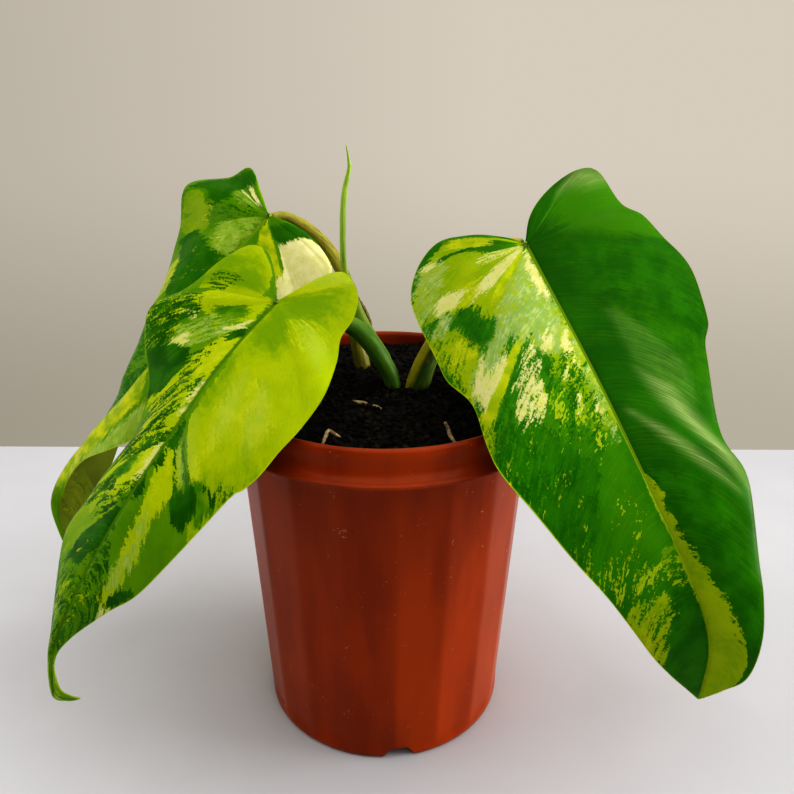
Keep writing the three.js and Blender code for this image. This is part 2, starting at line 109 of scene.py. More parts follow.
class SmoothCurve:
    """A smooth curve through points, read by its share of length."""

    STEPS = 40

    def __init__(self, points: Sequence[Point]) -> None:
        """Lays the curve through the points.

        Args:
            points: Places along the curve, in millimetres.
        """
        given = np.asarray(points, float)
        padded = np.vstack([2 * given[0] - given[1], given, 2 * given[-1] - given[-2]])
        t = np.linspace(0, 1, self.STEPS, endpoint=False)[:, None]
        spans = []
        for before, start, end, after in zip(padded, padded[1:], padded[2:], padded[3:]):
            leaving = (end - before) / 2
            arriving = (after - start) / 2
            square = 3 * (end - start) - 2 * leaving - arriving
            cube = 2 * (start - end) + leaving + arriving
            spans.append(start + leaving * t + square * t**2 + cube * t**3)
        self.points = np.vstack([*spans, given[-1:]])
        lengths = np.linalg.norm(np.diff(self.points, axis=0), axis=1)
        self.distances = np.concatenate([[0.0], np.cumsum(lengths)])
        self.length = float(self.distances[-1])

    def at(self, share: Array) -> Array:
        """Finds points on the curve.

        Args:
            share: Shares of the length, from 0 to 1.

        Returns:
            One point per share.
        """
        place = np.clip(share, 0, 1) * self.length
        return np.stack([np.interp(place, self.distances, self.points[:, k]) for k in range(3)], -1)

    def direction(self, share: Array) -> Array:
        """Finds the unit direction of travel at shares of the length.

        Args:
            share: Shares of the length, from 0 to 1.

        Returns:
            One unit vector per share.
        """
        share = np.asarray(share, float)
        ahead = self.at(share + 0.01) - self.at(share - 0.01)
        return ahead / np.linalg.norm(ahead, axis=-1, keepdims=True)


@dataclass
class MeshDraft:
    """The vertices, faces and painted values of a mesh before Blender has it."""

    vertices: Array
    faces: list[tuple[int, ...]]
    values: dict[str, Array] = field(default_factory=dict)
    flat_map: Array | None = None

    def make(self, name: str) -> Object:
        """Makes the object.

        Args:
            name: The object's name.

        Returns:
            The new object, linked to the scene.
        """
        mesh = bpy.data.meshes.new(name)
        mesh.from_pydata((self.vertices * MM).tolist(), [], self.faces)
        for title, numbers in self.values.items():
            is_vector = numbers.ndim == 2
            layer = mesh.attributes.new(title, "FLOAT_VECTOR" if is_vector else "FLOAT", "POINT")
            key = "vector" if is_vector else "value"
            layer.data.foreach_set(key, np.ascontiguousarray(numbers, np.float32).ravel())
        if self.flat_map is not None:
            layer = mesh.uv_layers.new(name="OFBake")
            layer.uv.foreach_set("vector", self.flat_map.astype(np.float32).ravel())
        mesh.update()
        mesh.shade_smooth()
        piece = bpy.data.objects.new(name, mesh)
        bpy.context.scene.collection.objects.link(piece)
        return piece

    def joined(self, other: "MeshDraft") -> "MeshDraft":
        """Puts another draft with the same painted values into one draft with this one.

        Args:
            other: The draft to add.

        Returns:
            A new draft that holds both.
        """
        count = len(self.vertices)
        return MeshDraft(
            np.vstack([self.vertices, other.vertices]),
            self.faces + [tuple(i + count for i in face) for face in other.faces],
            {title: np.concatenate([numbers, other.values[title]]) for title, numbers in self.values.items()},
        )


def around(count: int) -> Array:
    """Lists evenly spaced angles of one full turn."""
    return np.linspace(0, 2 * math.pi, count, endpoint=False)


def tube_faces(rings: int, sides: int) -> list[tuple[int, ...]]:
    """Joins rings of vertices into a tube and closes it with the two vertices that follow them.

    Args:
        rings: How many rings there are.
        sides: Vertices in each ring.

    Returns:
        The faces.
    """
    faces: list[tuple[int, ...]] = []
    count = rings * sides
    last = count - sides
    for s in range(sides):
        t = (s + 1) % sides
        faces += [(low + s, low + t, low + sides + t, low + sides + s) for low in range(0, last, sides)]
        faces += [(count, t, s), (count + 1, last + s, last + t)]
    return faces


def vertex_normals(vertices: Array, faces: list[tuple[int, ...]]) -> Array:
    """Averages the normals of the faces around each vertex.

    Args:
        vertices: Places, one per row.
        faces: Vertex numbers of each face.

    Returns:
        One unit vector per vertex.
    """
    total = np.zeros_like(vertices)
    for corners in (3, 4):
        group = np.array([face for face in faces if len(face) == corners], int)
        if not len(group):
            continue
        corner = [vertices[group[:, k]] for k in range(corners)]
        normal = np.cross(corner[corners // 2] - corner[0], corner[-1] - corner[corners - 3])
        for k in range(corners):
            np.add.at(total, group[:, k], normal)
    return total / np.maximum(np.linalg.norm(total, axis=1, keepdims=True), 1e-12)


def place_piece(piece: Object, slot: str, material: Material, *nodes: str) -> None:
    """Dresses a piece and ties it to the frame.

    Args:
        piece: The finished object.
        slot: The material slot's name; not used.
        material: What it is dressed in.
        nodes: The frame's nodes that it stands for.
    """
    piece.data.materials.append(material)
    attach(piece, BODY)
    if nodes:
        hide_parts(*nodes)
    log.info("%s: %d faces", piece.name, len(piece.data.polygons))


class Graph:
    """Lays shader nodes in one tree, so that a formula reads as a line of code."""

    def __init__(self, tree: NodeTree) -> None:
        """Keeps the tree that nodes go into.

        Args:
            tree: A material's or a group's node tree.
        """
        self.tree = tree

    def node(self, kind: str, feeds: dict | None = None, **settings: object) -> Node:
        """Adds one node.

        Args:
            kind: The node's type after the word ShaderNode.
            feeds: A value or socket for each named or numbered input.
            settings: The node's own options.

        Returns:
            The new node.
        """
        made = self.tree.nodes.new(f"ShaderNode{kind}")
        for name, value in settings.items():
            setattr(made, name, value)
        for name, value in (feeds or {}).items():
            self.feed(made.inputs[name], value)
        return made

    def feed(self, socket: NodeSocket, value: Feed) -> None:
        """Links a socket or sets its value.

        Args:
            socket: The input.
            value: Another socket or a plain value, which is a display colour for a colour input.
        """
        if isinstance(value, NodeSocket):
            self.tree.links.new(value, socket)
        else:
            socket.default_value = linear(value) if socket.type == "RGBA" else value

    def math(self, operation: str, *values: Feed) -> NodeSocket:
        """Adds a sum of one, two or three values.

        Args:
            operation: The Math node's operation.
            values: Its inputs in order.

        Returns:
            The result's socket.
        """
        made = self.node("Math", operation=operation)
        for socket, value in zip(made.inputs, values):
            self.feed(socket, value)
        return made.outputs[0]

    def times(self, first: Feed, second: Feed) -> NodeSocket:
        """Multiplies two values."""
        return self.math("MULTIPLY", first, second)

    def mix(self, factor: Feed, first: Feed, second: Feed) -> NodeSocket:
        """Mixes two colours.

        Args:
            factor: Share of the second colour.
            first: The first colour.
            second: The second colour.

        Returns:
            The mixed colour's socket.
        """
        made = self.node("Mix", {0: factor, 6: first, 7: second}, data_type="RGBA")
        return made.outputs[2]

    def over(self, under: Feed, tone: Feed, mask: Feed, cover: Feed) -> NodeSocket:
        """Lays a colour over another one.

        Args:
            under: The colour below.
            tone: The colour on top.
            mask: Where it lies.
            cover: The most that it hides of what is below.

        Returns:
            The covered colour's socket.
        """
        return self.mix(self.times(mask, cover), under, tone)

    def step(self, value: Feed, low: Feed, high: Feed) -> NodeSocket:
        """Adds a smooth rise from 0 at low to 1 at high.

        Args:
            value: What is mapped.
            low: Where the rise starts.
            high: Where it ends.

        Returns:
            The mask's socket.
        """
        feeds = {"Value": value, "From Min": low, "From Max": high}
        return self.node("MapRange", feeds, interpolation_type="SMOOTHSTEP").outputs[0]

    def span(self, value: Feed, low: float, high: float) -> NodeSocket:
        """Stretches a mask from 0 and 1 to two other values.

        Args:
            value: The mask.
            low: The result where the mask is 0.
            high: The result where the mask is 1.

        Returns:
            The stretched value's socket.
        """
        return self.node("MapRange", {"Value": value, "To Min": low, "To Max": high}).outputs[0]

    def scaled(self, vector: Feed, scale: Point) -> NodeSocket:
        """Multiplies a vector by a scale on each axis."""
        return self.node("VectorMath", {0: vector, 1: scale}, operation="MULTIPLY").outputs[0]

    def noise(self, vector: Feed, scale: Feed, detail: float = 3.0, roughness: float = 0.6) -> NodeSocket:
        """Adds noise from about 0.3 to 0.7.

        Args:
            vector: Where it is read.
            scale: How many lumps there are to a unit.
            detail: How many finer layers it has.
            roughness: How strong the finer layers are.

        Returns:
            The value's socket.
        """
        feeds = {"Vector": vector, "Scale": scale, "Detail": detail, "Roughness": roughness}
        return self.node("TexNoise", feeds).outputs[0]

    def painted(self, name: str, output: str = "Fac") -> NodeSocket:
        """Reads a value that is painted on the mesh."""
        return self.node("Attribute", attribute_name=name).outputs[output]

    def shared(self, group: NodeTree, **feeds: Feed) -> Node:
        """Adds a node group, with each word of a named input given in lower case and joined by _.

        Args:
            group: The group's tree.
            feeds: A value or socket for each input.

        Returns:
            The group's node.
        """
        made = self.tree.nodes.new("ShaderNodeGroup")
        made.node_tree = group
        for name, value in feeds.items():
            self.feed(made.inputs[name.replace("_", " ").title()], value)
        return made


class SocketKind(Enum):
    """The sorts of socket that the shared groups have."""

    VALUE = "NodeSocketFloat"
    VECTOR = "NodeSocketVector"
    COLOUR = "NodeSocketColor"


class SharedGroups:
    """The effects that several finishes use, each a node group made once."""

    def __init__(self) -> None:
        """Makes every group."""
        self.ragged = self._ragged_patch()
        self.streaks = self._long_streaks()
        self.flecks = self._flecks()
        self.mottle = self._mottle()

    @staticmethod
    def _start(name: str, inputs: dict, outputs: dict) -> tuple[Graph, dict, Node]:
        """Starts a group.

        Args:
            name: The group's name.
            inputs: The names of the inputs of each sort.
            outputs: The names of the outputs of each sort.

        Returns:
            The graph, the input sockets by name, and the node that takes the outputs.
        """
        tree = bpy.data.node_groups.new(name, "ShaderNodeTree")
        for way, sorts in (("INPUT", inputs), ("OUTPUT", outputs)):
            for kind, titles in sorts.items():
                for title in titles:
                    tree.interface.new_socket(name=title, in_out=way, socket_type=kind.value)
        given = tree.nodes.new("NodeGroupInput")
        result = tree.nodes.new("NodeGroupOutput")
        return Graph(tree), {socket.name: socket for socket in given.outputs if socket.name}, result

    def _ragged_patch(self) -> NodeTree:
        """Makes the mask of a patch whose edge is torn along the veins.

        Returns:
            The group's tree.
        """
        graph, given, result = self._start("Ragged Patch", {
            SocketKind.VALUE: ("Field", "Raggedness", "Fineness", "Softness"),
            SocketKind.VECTOR: ("Grain", "Place"),
        }, {SocketKind.VALUE: ("Mask",)})
        torn = graph.noise(given["Grain"], graph.times(given["Fineness"], 0.8), 5.0, 0.65)
        speck = graph.noise(given["Place"], graph.times(given["Fineness"], 0.5), 4.0, 0.65)
        wave = graph.math("ADD", graph.math("MULTIPLY_ADD", torn, 3.2, -1.6),
                          graph.math("MULTIPLY_ADD", speck, 2.0, -1.0))
        edge = graph.math("MULTIPLY_ADD", wave, given["Raggedness"], given["Field"])
        half = graph.times(given["Softness"], 0.5)
        graph.feed(result.inputs["Mask"], graph.step(edge, graph.times(half, -1.0), half))
        return graph.tree

    def _long_streaks(self) -> NodeTree:
        """Makes streaks that run along a piece.

        Returns:
            The group's tree.
        """
        graph, given, result = self._start("Long Streaks", {
            SocketKind.VALUE: ("Fineness", "Level", "Softness"),
            SocketKind.VECTOR: ("Grain",),
        }, {SocketKind.VALUE: ("Mask", "Height")})
        lines = graph.noise(given["Grain"], given["Fineness"], 4.0)
        low = graph.math("SUBTRACT", given["Level"], given["Softness"])
        high = graph.math("ADD", given["Level"], given["Softness"])
        graph.feed(result.inputs["Mask"], graph.step(lines, low, high))
        graph.feed(result.inputs["Height"], lines)
        return graph.tree

    def _flecks(self) -> NodeTree:
        """Makes small separate specks, thicker where the density is high.

        Returns:
            The group's tree.
        """
        graph, given, result = self._start("Flecks", {
            SocketKind.VALUE: ("Size", "Density"),
            SocketKind.VECTOR: ("Place",),
        }, {SocketKind.VALUE: ("Mask",)})
        scale = graph.math("DIVIDE", 0.5, given["Size"])
        fine = graph.noise(given["Place"], scale, 2.5, 0.65)
        broad = graph.noise(given["Place"], graph.times(scale, 0.17), 2.0, 0.5)
        both = graph.math("MULTIPLY_ADD", broad, 0.6, graph.times(fine, 0.7))
        level = graph.math("MULTIPLY_ADD", given["Density"], -0.26, 0.86)
        graph.feed(result.inputs["Mask"], graph.step(both, level, graph.math("ADD", level, 0.03)))
        return graph.tree

    def _mottle(self) -> NodeTree:
        """Makes broad uneven tones for any finish.

        Returns:
            The group's tree.
        """
        graph, given, result = self._start("Mottle", {
            SocketKind.VALUE: ("Size",),
            SocketKind.VECTOR: ("Place",),
            SocketKind.COLOUR: ("First", "Second"),
        }, {SocketKind.COLOUR: ("Color",)})
        broad = graph.noise(given["Place"], graph.math("DIVIDE", 1.0, given["Size"]), 4.0, 0.5)
        mixed = graph.mix(graph.step(broad, 0.36, 0.64), given["First"], given["Second"])
        graph.feed(result.inputs["Color"], mixed)
        return graph.tree


class Skin(Graph):
    """The graph of one material, with its main shader and the shared effects at hand."""

    def __init__(self, name: str, groups: SharedGroups) -> None:
        """Starts the material.

        Args:
            name: The material's name.
            groups: The shared effects.
        """
        self.material = bpy.data.materials.new(name)
        self.material.use_nodes = True
        super().__init__(self.material.node_tree)
        self.shader = self.tree.nodes["Principled BSDF"]
        self.groups = groups

    def grain(self) -> NodeSocket:
        """Reads the place across and along the veins or the fibres."""
        return self.painted("grain", "Vector")

    def on_flat(self) -> NodeSocket:
        """Reads the place on the flat blade, in millimetres."""
        return self.painted("place", "Vector")

    def place(self) -> NodeSocket:
        """Reads the place on the object, in millimetres."""
        return self.scaled(self.node("TexCoord").outputs["Object"], (1000.0, 1000.0, 1000.0))

    def mottled(self, place: Feed, size: float, first: Feed, second: Feed) -> NodeSocket:
        """Mixes two colours in soft clouds.

        Args:
            place: Where the clouds are read.
            size: Width of the largest clouds, in millimetres.
            first: One colour.
            second: The other one.

        Returns:
            The mixed colour's socket.
        """
        clouds = self.shared(self.groups.mottle, place=place, size=size, first=first, second=second)
        return clouds.outputs["Color"]

    def streaked(self, grain: Feed, fineness: float, level: float, softness: float) -> list[NodeSocket]:
        """Reads streaks that run along the grain.

        Args:
            grain: Where they are read.
            fineness: How many there are to a unit.
            level: How strong the noise is where they start, less for more streaks.
            softness: How soft their edges are.

        Returns:
            The streaks' mask and their height.
        """
        return list(self.shared(self.groups.streaks, grain=grain, fineness=fineness, level=level,
                                softness=softness).outputs)

    def flecked(self, place: Feed, size: float, density: Feed) -> NodeSocket:
        """Reads the mask of small specks.

        Args:
            place: Where they are read.
            size: Their width in millimetres.
            density: How thick they lie, from 0 to 1.

        Returns:
            The mask's socket.
        """
        return self.shared(self.groups.flecks, place=place, size=size, density=density).outputs["Mask"]

    def bump(self, height: Feed, strength: float, distance: float) -> None:
        """Raises the surface by a height.

        Args:
            height: The height's socket.
            strength: Share of the effect.
            distance: Height in millimetres that 1 stands for.
        """
        feeds = {"Height": height, "Strength": strength, "Distance": distance * MM}
        self.feed(self.shader.inputs["Normal"], self.node("Bump", feeds).outputs[0])

    def finish(self, colour: Feed, roughness: Feed, specular: float = 0.5) -> None:
        """Feeds the main shader.

        Args:
            colour: The surface's colour.
            roughness: How matt it is, from 0 to 1.
            specular: How much it mirrors, from 0 to 1.
        """
        feeds = {"Base Color": colour, "Roughness": roughness, "Specular IOR Level": specular}
        for name, value in feeds.items():
            self.feed(self.shader.inputs[name], value)


@dataclass(frozen=True)
class Finish:
    """A procedural finish, whose subclasses lay the nodes of one kind of surface."""

    name: str

    def make(self, groups: SharedGroups) -> Material:
        """Makes the material.

        Args:
            groups: The shared effects.

        Returns:
            The finished material.
        """
        skin = Skin(self.name, groups)
        self.lay(skin)
        return skin.material

    def lay(self, skin: Skin) -> None:
        """Lays the nodes, from the colour to the main shader.

        Args:
            skin: The material being made.
        """
        raise NotImplementedError


class Tone(Enum):
    """The tones that a patch on a blade can have, each a layer painted on the mesh."""

    # SHADE is partly painted shade: a darker green laid where a blade turns away from the light, over its own
    # darker tone.
    SHADE = "shade"
    LIME = "lime"
    SOFT = "soft"
    GREEN = "green"
    YELLOW = "yellow"
    # SILVER is partly the blade's own grey-green and partly painted sheen, a pale reflection laid on as a
    # patch.
    SILVER = "silver"
    CREAM = "cream"
    DEEP = "deep"
    FLECKED = "flecked"
    # SHEEN is painted sheen: a silvery highlight laid where light would glint off the blade.
    SHEEN = "sheen"


@dataclass(frozen=True)
class Patch:
    """A patch on a blade: a closed outline of points, each a vein's number and the way out.

    Veins are numbered by percent of the margin from the sinus to the tip. The way out runs from 0
    at the midrib to 100 percent at the right margin, or to -100 at the left one.

    Attributes:
        tone: The layer that it belongs to.
        outline: Its corners in order.
        depth: The most its field may reach in millimetres, small or below 0 for a broken patch.
        crisp: How much less than usual its edge is torn.
    """

    tone: Tone
    outline: tuple[tuple[float, float], ...]
    depth: float = 20.0
    crisp: float = 1.0


@dataclass(frozen=True)
class Layer:
    """How the patches of one tone lie on a blade.

    Attributes:
        tone: The tone.
        tear: How far their edges are torn, as a share of the blade's raggedness.
        fineness: How fine the tears are.
        softness: Width of an edge, in millimetres.
        cover: The most that they hide of what is under them.
    """

    tone: Tone
    tear: float = 1.0
    fineness: float = 1.0
    softness: float = 0.4
    cover: float = 1.0


LAYERS = (
    Layer(Tone.SHADE),
    Layer(Tone.LIME, fineness=1.4),
    Layer(Tone.SOFT, 1.5, 0.6, 7.0, 0.85),
    Layer(Tone.GREEN, 1.2, 1.4, 1.4),
    Layer(Tone.YELLOW, 1.3, 1.8, 2.0, 0.9),
    Layer(Tone.SILVER, 1.4, 1.8, 2.2, 0.85),
    Layer(Tone.CREAM, 1.2, 2.0, 1.4, 0.95),
    Layer(Tone.DEEP, 1.1, 1.8, 0.6),
)


@dataclass(frozen=True)
class BladeFinish(Finish):
    """The waxy, marbled skin of one blade, with painted sheen and partly painted shade."""

    ground: Colour
    ground_light: Colour
    shade: Colour
    shade_light: Colour
    lime: Colour
    lime_light: Colour
    soft: Colour
    green: Colour
    yellow: Colour
    # silver is the blade's own grey-green and also the colour of the painted sheen.
    silver: Colour
    cream: Colour
    deep: Colour
    deep_light: Colour
    rib: Colour
    fleck: Colour
    raggedness: float = 2.2
    rib_width: float = 1.2
    specular: float = 0.03

    def lay(self, skin: Skin) -> None:
        """Lays the nodes of the marbled blade.

        Args:
            skin: The material being made.
        """
        place = skin.on_flat()
        under = skin.painted("under")
        along_veins = skin.noise(skin.scaled(skin.grain(), (4.5, 0.4, 1.0)), 1.0)
        colour = self._ribbed(skin, self._with_painted_sheen(skin, self._marbled(skin), along_veins))
        underside = skin.mix(0.3, colour, self.silver)
        wax = skin.span(skin.noise(place, 0.12, 3.0, 0.5), 0.2, 0.34)
        relief = skin.math("ADD", skin.times(along_veins, 1.2), skin.noise(place, 2.2, 2.0, 0.5))
        skin.bump(relief, 0.4, 0.12)
        skin.finish(skin.mix(under, colour, underside), skin.math("MULTIPLY_ADD", under, 0.22, wax),
                    self.specular)

    def _tones(self, skin: Skin) -> dict[Tone, Feed]:
        """Mixes the colour of each tone.

        Args:
            skin: The material being made.

        Returns:
            A colour for the tone of each layer.
        """
        place = skin.on_flat()
        lines = skin.streaked(skin.grain(), 2.4, 0.52, 0.1)[0]
        lime = skin.mottled(place, 14.0, self.lime, self.lime_light)
        greyer = skin.mix(0.55, self.soft, self.silver)
        creamy = skin.mix(0.3, self.cream, self.yellow)
        return {
            Tone.SHADE: skin.mottled(place, 24.0, self.shade, self.shade_light),
            Tone.LIME: skin.over(lime, self.lime_light, lines, 0.5),
            Tone.SOFT: self.soft,
            Tone.GREEN: skin.mottled(place, 12.0, self.green, self.soft),
            Tone.YELLOW: skin.mottled(place, 7.0, self.yellow, self.lime_light),
            Tone.SILVER: skin.mix(lines, greyer, skin.mottled(place, 5.0, self.silver, self.lime_light)),
            Tone.CREAM: skin.mottled(place, 5.0, self.cream, creamy),
            Tone.DEEP: skin.mottled(place, 9.0, self.deep, self.deep_light),
        }

    def _marbled(self, skin: Skin) -> NodeSocket:
        """Lays the tones over the ground, and the flecks over them.

        Args:
            skin: The material being made.

        Returns:
            The marbled colour.
        """
        grain, place = skin.grain(), skin.on_flat()
        colour = skin.mottled(place, 24.0, self.ground, self.ground_light)
        tones = self._tones(skin)
        for layer in LAYERS:
            patch = skin.shared(skin.groups.ragged, field=skin.painted(layer.tone.value), grain=grain,
                                place=place, raggedness=self.raggedness * layer.tear,
                                fineness=layer.fineness, softness=layer.softness)
            colour = skin.over(colour, tones[layer.tone], patch.outputs["Mask"], layer.cover)
        density = skin.step(skin.painted(Tone.FLECKED.value), -4.0, 8.0)
        flecks = skin.flecked(skin.scaled(grain, (1.6, 3.0, 1.0)), 0.36, density)
        return skin.over(colour, self.fleck, skin.times(flecks, skin.step(density, 0.02, 0.3)), 0.85)

    def _with_painted_sheen(self, skin: Skin, colour: Feed, along_veins: Feed) -> NodeSocket:
        """Adds painted sheen, in fine pale streaks and a silvery gloss, and the darker dapple.

        Args:
            skin: The material being made.
            colour: The marbled colour.
            along_veins: Noise drawn out along the veins.

        Returns:
            The colour with all three.
        """
        # Painted sheen: fine pale streaks along the veins, where light would glance off the wax.
        sheen_streak_colour = skin.mix(0.35, colour, self.lime_light)
        colour = skin.over(colour, sheen_streak_colour, skin.step(along_veins, 0.46, 0.72), 0.22)
        # Painted sheen: a silvery highlight where the sheen patches lie, broken up by the vein streaks.
        painted_sheen = skin.step(skin.painted(Tone.SHEEN.value), -4.0, 6.0)
        painted_sheen_lines = skin.span(skin.step(along_veins, 0.3, 0.7), 0.3, 0.75)
        colour = skin.over(colour, self.silver, painted_sheen, painted_sheen_lines)
        dapple = skin.noise(skin.scaled(skin.grain(), (3.0, 6.0, 1.0)), 1.0)
        darker = skin.mix(0.5, colour, self.deep)
        return skin.over(colour, darker, skin.step(dapple, 0.5, 0.7), 0.25)

    def _ribbed(self, skin: Skin, colour: Feed) -> NodeSocket:
        """Draws the midrib, its groove and the thin border of the margin.

        Args:
            skin: The material being made.
            colour: The colour between them.

        Returns:
            The colour with all three.
        """
        from_rib = skin.painted("rib")
        rib_edge = skin.times(skin.painted("rib_width"), self.rib_width)
        lines = (
            (self.rib, skin.step(from_rib, skin.times(rib_edge, 0.5), rib_edge), 0.8),
            (self.soft, skin.step(from_rib, 0.0, skin.times(rib_edge, 0.4)), 0.6),
            (self.yellow, skin.step(skin.painted("margin"), 0.15, 0.6), 0.5),
        )
        for tone, beside, cover in lines:
            colour = skin.over(colour, tone, skin.math("SUBTRACT", 1.0, beside), cover)
        return colour


@dataclass(frozen=True)
class BladeShape:
    """The middle surface of a blade: points along its midrib and its two margins."""

    rib: tuple[Point, ...]
    left: tuple[Point, ...]
    right: tuple[Point, ...]
    camber_left: tuple[float, ...] = (0.06,)
    camber_right: tuple[float, ...] = (0.06,)


class BladeSheet:
    """Reads places on a blade by vein number and share out from the midrib.

    Attributes:
        LOBE_SHARE: The first vein that starts on the midrib, since the ones before it fan out over a lobe.
        VEIN_SPACING_POWER: How much closer the first veins on the midrib start, with 1 for even spaces.
        VEIN_STEP: Distance to the neighbours that give the slope of the sheet.
        VEIN_SPREAD: Width of the whole fan in the space of straight veins.
        VEIN_SHORTENING: Length of a vein in that space, as a share of its real length.
        HALF_GAP: Room beside the midrib there, which keeps a torn edge on its own half.
    """

    LOBE_SHARE = 0.36
    VEIN_SPACING_POWER = 1.2
    VEIN_STEP = 0.02
    VEIN_SPREAD = 200.0
    VEIN_SHORTENING = 0.4
    HALF_GAP = 1.5

    def __init__(self, shape: BladeShape) -> None:
        """Lays the curves of the midrib and margins.

        Args:
            shape: The blade's points.
        """
        self.shape = shape
        self.rib = SmoothCurve(shape.rib)
        self.margins = {
            -1: SmoothCurve([shape.rib[0], *shape.left, shape.rib[-1]]),
            1: SmoothCurve([shape.rib[0], *shape.right, shape.rib[-1]]),
        }

    def rib_share(self, vein: Array) -> Array:
        """Finds the share of the midrib where each vein starts."""
        return np.clip((vein - self.LOBE_SHARE) / (1 - self.LOBE_SHARE), 0, 1) ** self.VEIN_SPACING_POWER

    def ends(self, side: int, vein: Array) -> tuple[Array, Array]:
        """Finds each vein's start on the midrib and its end on the margin."""
        vein = np.clip(vein, 0, 1)
        return self.rib.at(self.rib_share(vein)), self.margins[side].at(vein)

    def middle(self, side: int, vein: Array, out: Array) -> Array:
        """Finds places on the middle surface.

        Args:
            side: -1 for the left half, 1 for the right one.
            vein: The veins, one per row of the result.
            out: The shares out, one per column.

        Returns:
            A grid of places in millimetres.
        """
        inner, outer = self.ends(side, vein)
        inner_before, outer_before = self.ends(side, vein - self.VEIN_STEP)
        inner_after, outer_after = self.ends(side, vein + self.VEIN_STEP)
        across = outer - inner
        onward = inner_after + outer_after - inner_before - outer_before
        face = np.cross(onward, across) * side
        face /= np.linalg.norm(face, axis=1, keepdims=True)
        camber = self.shape.camber_right if side > 0 else self.shape.camber_left
        swelling = np.interp(vein, np.linspace(0, 1, len(camber)), camber) if len(camber) > 1 else camber[0]
        height = swelling * np.linalg.norm(across, axis=1)
        w = out[None, :, None]
        swell = face[:, None] * (height[:, None, None] * 4 * w * (1 - w))
        return inner[:, None] + across[:, None] * w + swell

    def flat(self, side: int, vein: Array, out: Array) -> Array:
        """Finds places on the blade laid flat, x along the midrib and y out to the right.

        Args:
            side: -1 for the left half, 1 for the right one.
            vein: Vein numbers.
            out: The shares out, of a shape that goes with the veins.

        Returns:
            Flat places in millimetres.
        """
        share = self.rib_share(vein)
        inner, outer = self.ends(side, vein)
        across = outer - inner
        reach = np.maximum(np.linalg.norm(across, axis=-1), 1e-6)
        lean = np.sum(across * self.rib.direction(share), axis=-1) / reach
        along = share * self.rib.length + out * reach * lean
        return np.stack([along, side * out * reach * np.sqrt(np.clip(1 - lean**2, 0, 1))], -1)

    def vein_space(self, side: Array, vein: Array, out: Array) -> Array:
        """Finds places in a space where the veins are straight, even and shortened.

        A patch measured here has an edge that noise tears further along the veins than across them.

        Args:
            side: -1 for the left half, 1 for the right one.
            vein: Vein numbers.
            out: The shares out.

        Returns:
            Places across and along the veins, in nominal millimetres.
        """
        reach = np.zeros(np.shape(vein))
        for half in (-1, 1):
            inner, outer = self.ends(half, vein)
            reach = np.where(side == half, np.linalg.norm(outer - inner, axis=-1), reach)
        away = out * reach * self.VEIN_SHORTENING + self.HALF_GAP
        return np.stack([vein * self.VEIN_SPREAD, side * away], -1)

    def patch_outline(self, patch: Patch) -> Array:
        """Lays the outline of a patch in the space of straight veins.

        Args:
            patch: The patch.

        Returns:
            The places of its corners.
        """
        vein, out = np.array(patch.outline).T / 100
        side = np.where(out < 0, -1, 1)
        return self.vein_space(side, vein, np.abs(out))


def inside_distance(places: Array, outline: Array) -> Array:
    """Measures how far places are inside a closed outline.

    Args:
        places: Flat places, one per row.
        outline: The outline's corners in order.

    Returns:
        Distance to the outline in millimetres, above 0 inside it and below 0 outside.
    """
    nearest = np.full(len(places), np.inf)
    inside = np.zeros(len(places), bool)
    for start, end in zip(outline, np.roll(outline, -1, axis=0)):
        edge = end - start
        from_start = places - start
        share = np.clip(from_start @ edge / max(float(edge @ edge), 1e-9), 0, 1)
        nearest = np.minimum(nearest, np.linalg.norm(from_start - share[:, None] * edge, axis=1))
        crosses = (start[1] > places[:, 1]) != (end[1] > places[:, 1])
        height = end[1] - start[1] if end[1] != start[1] else 1e-9
        inside ^= crosses & (places[:, 0] < start[0] + (places[:, 1] - start[1]) * edge[0] / height)
    return np.where(inside, nearest, -nearest)


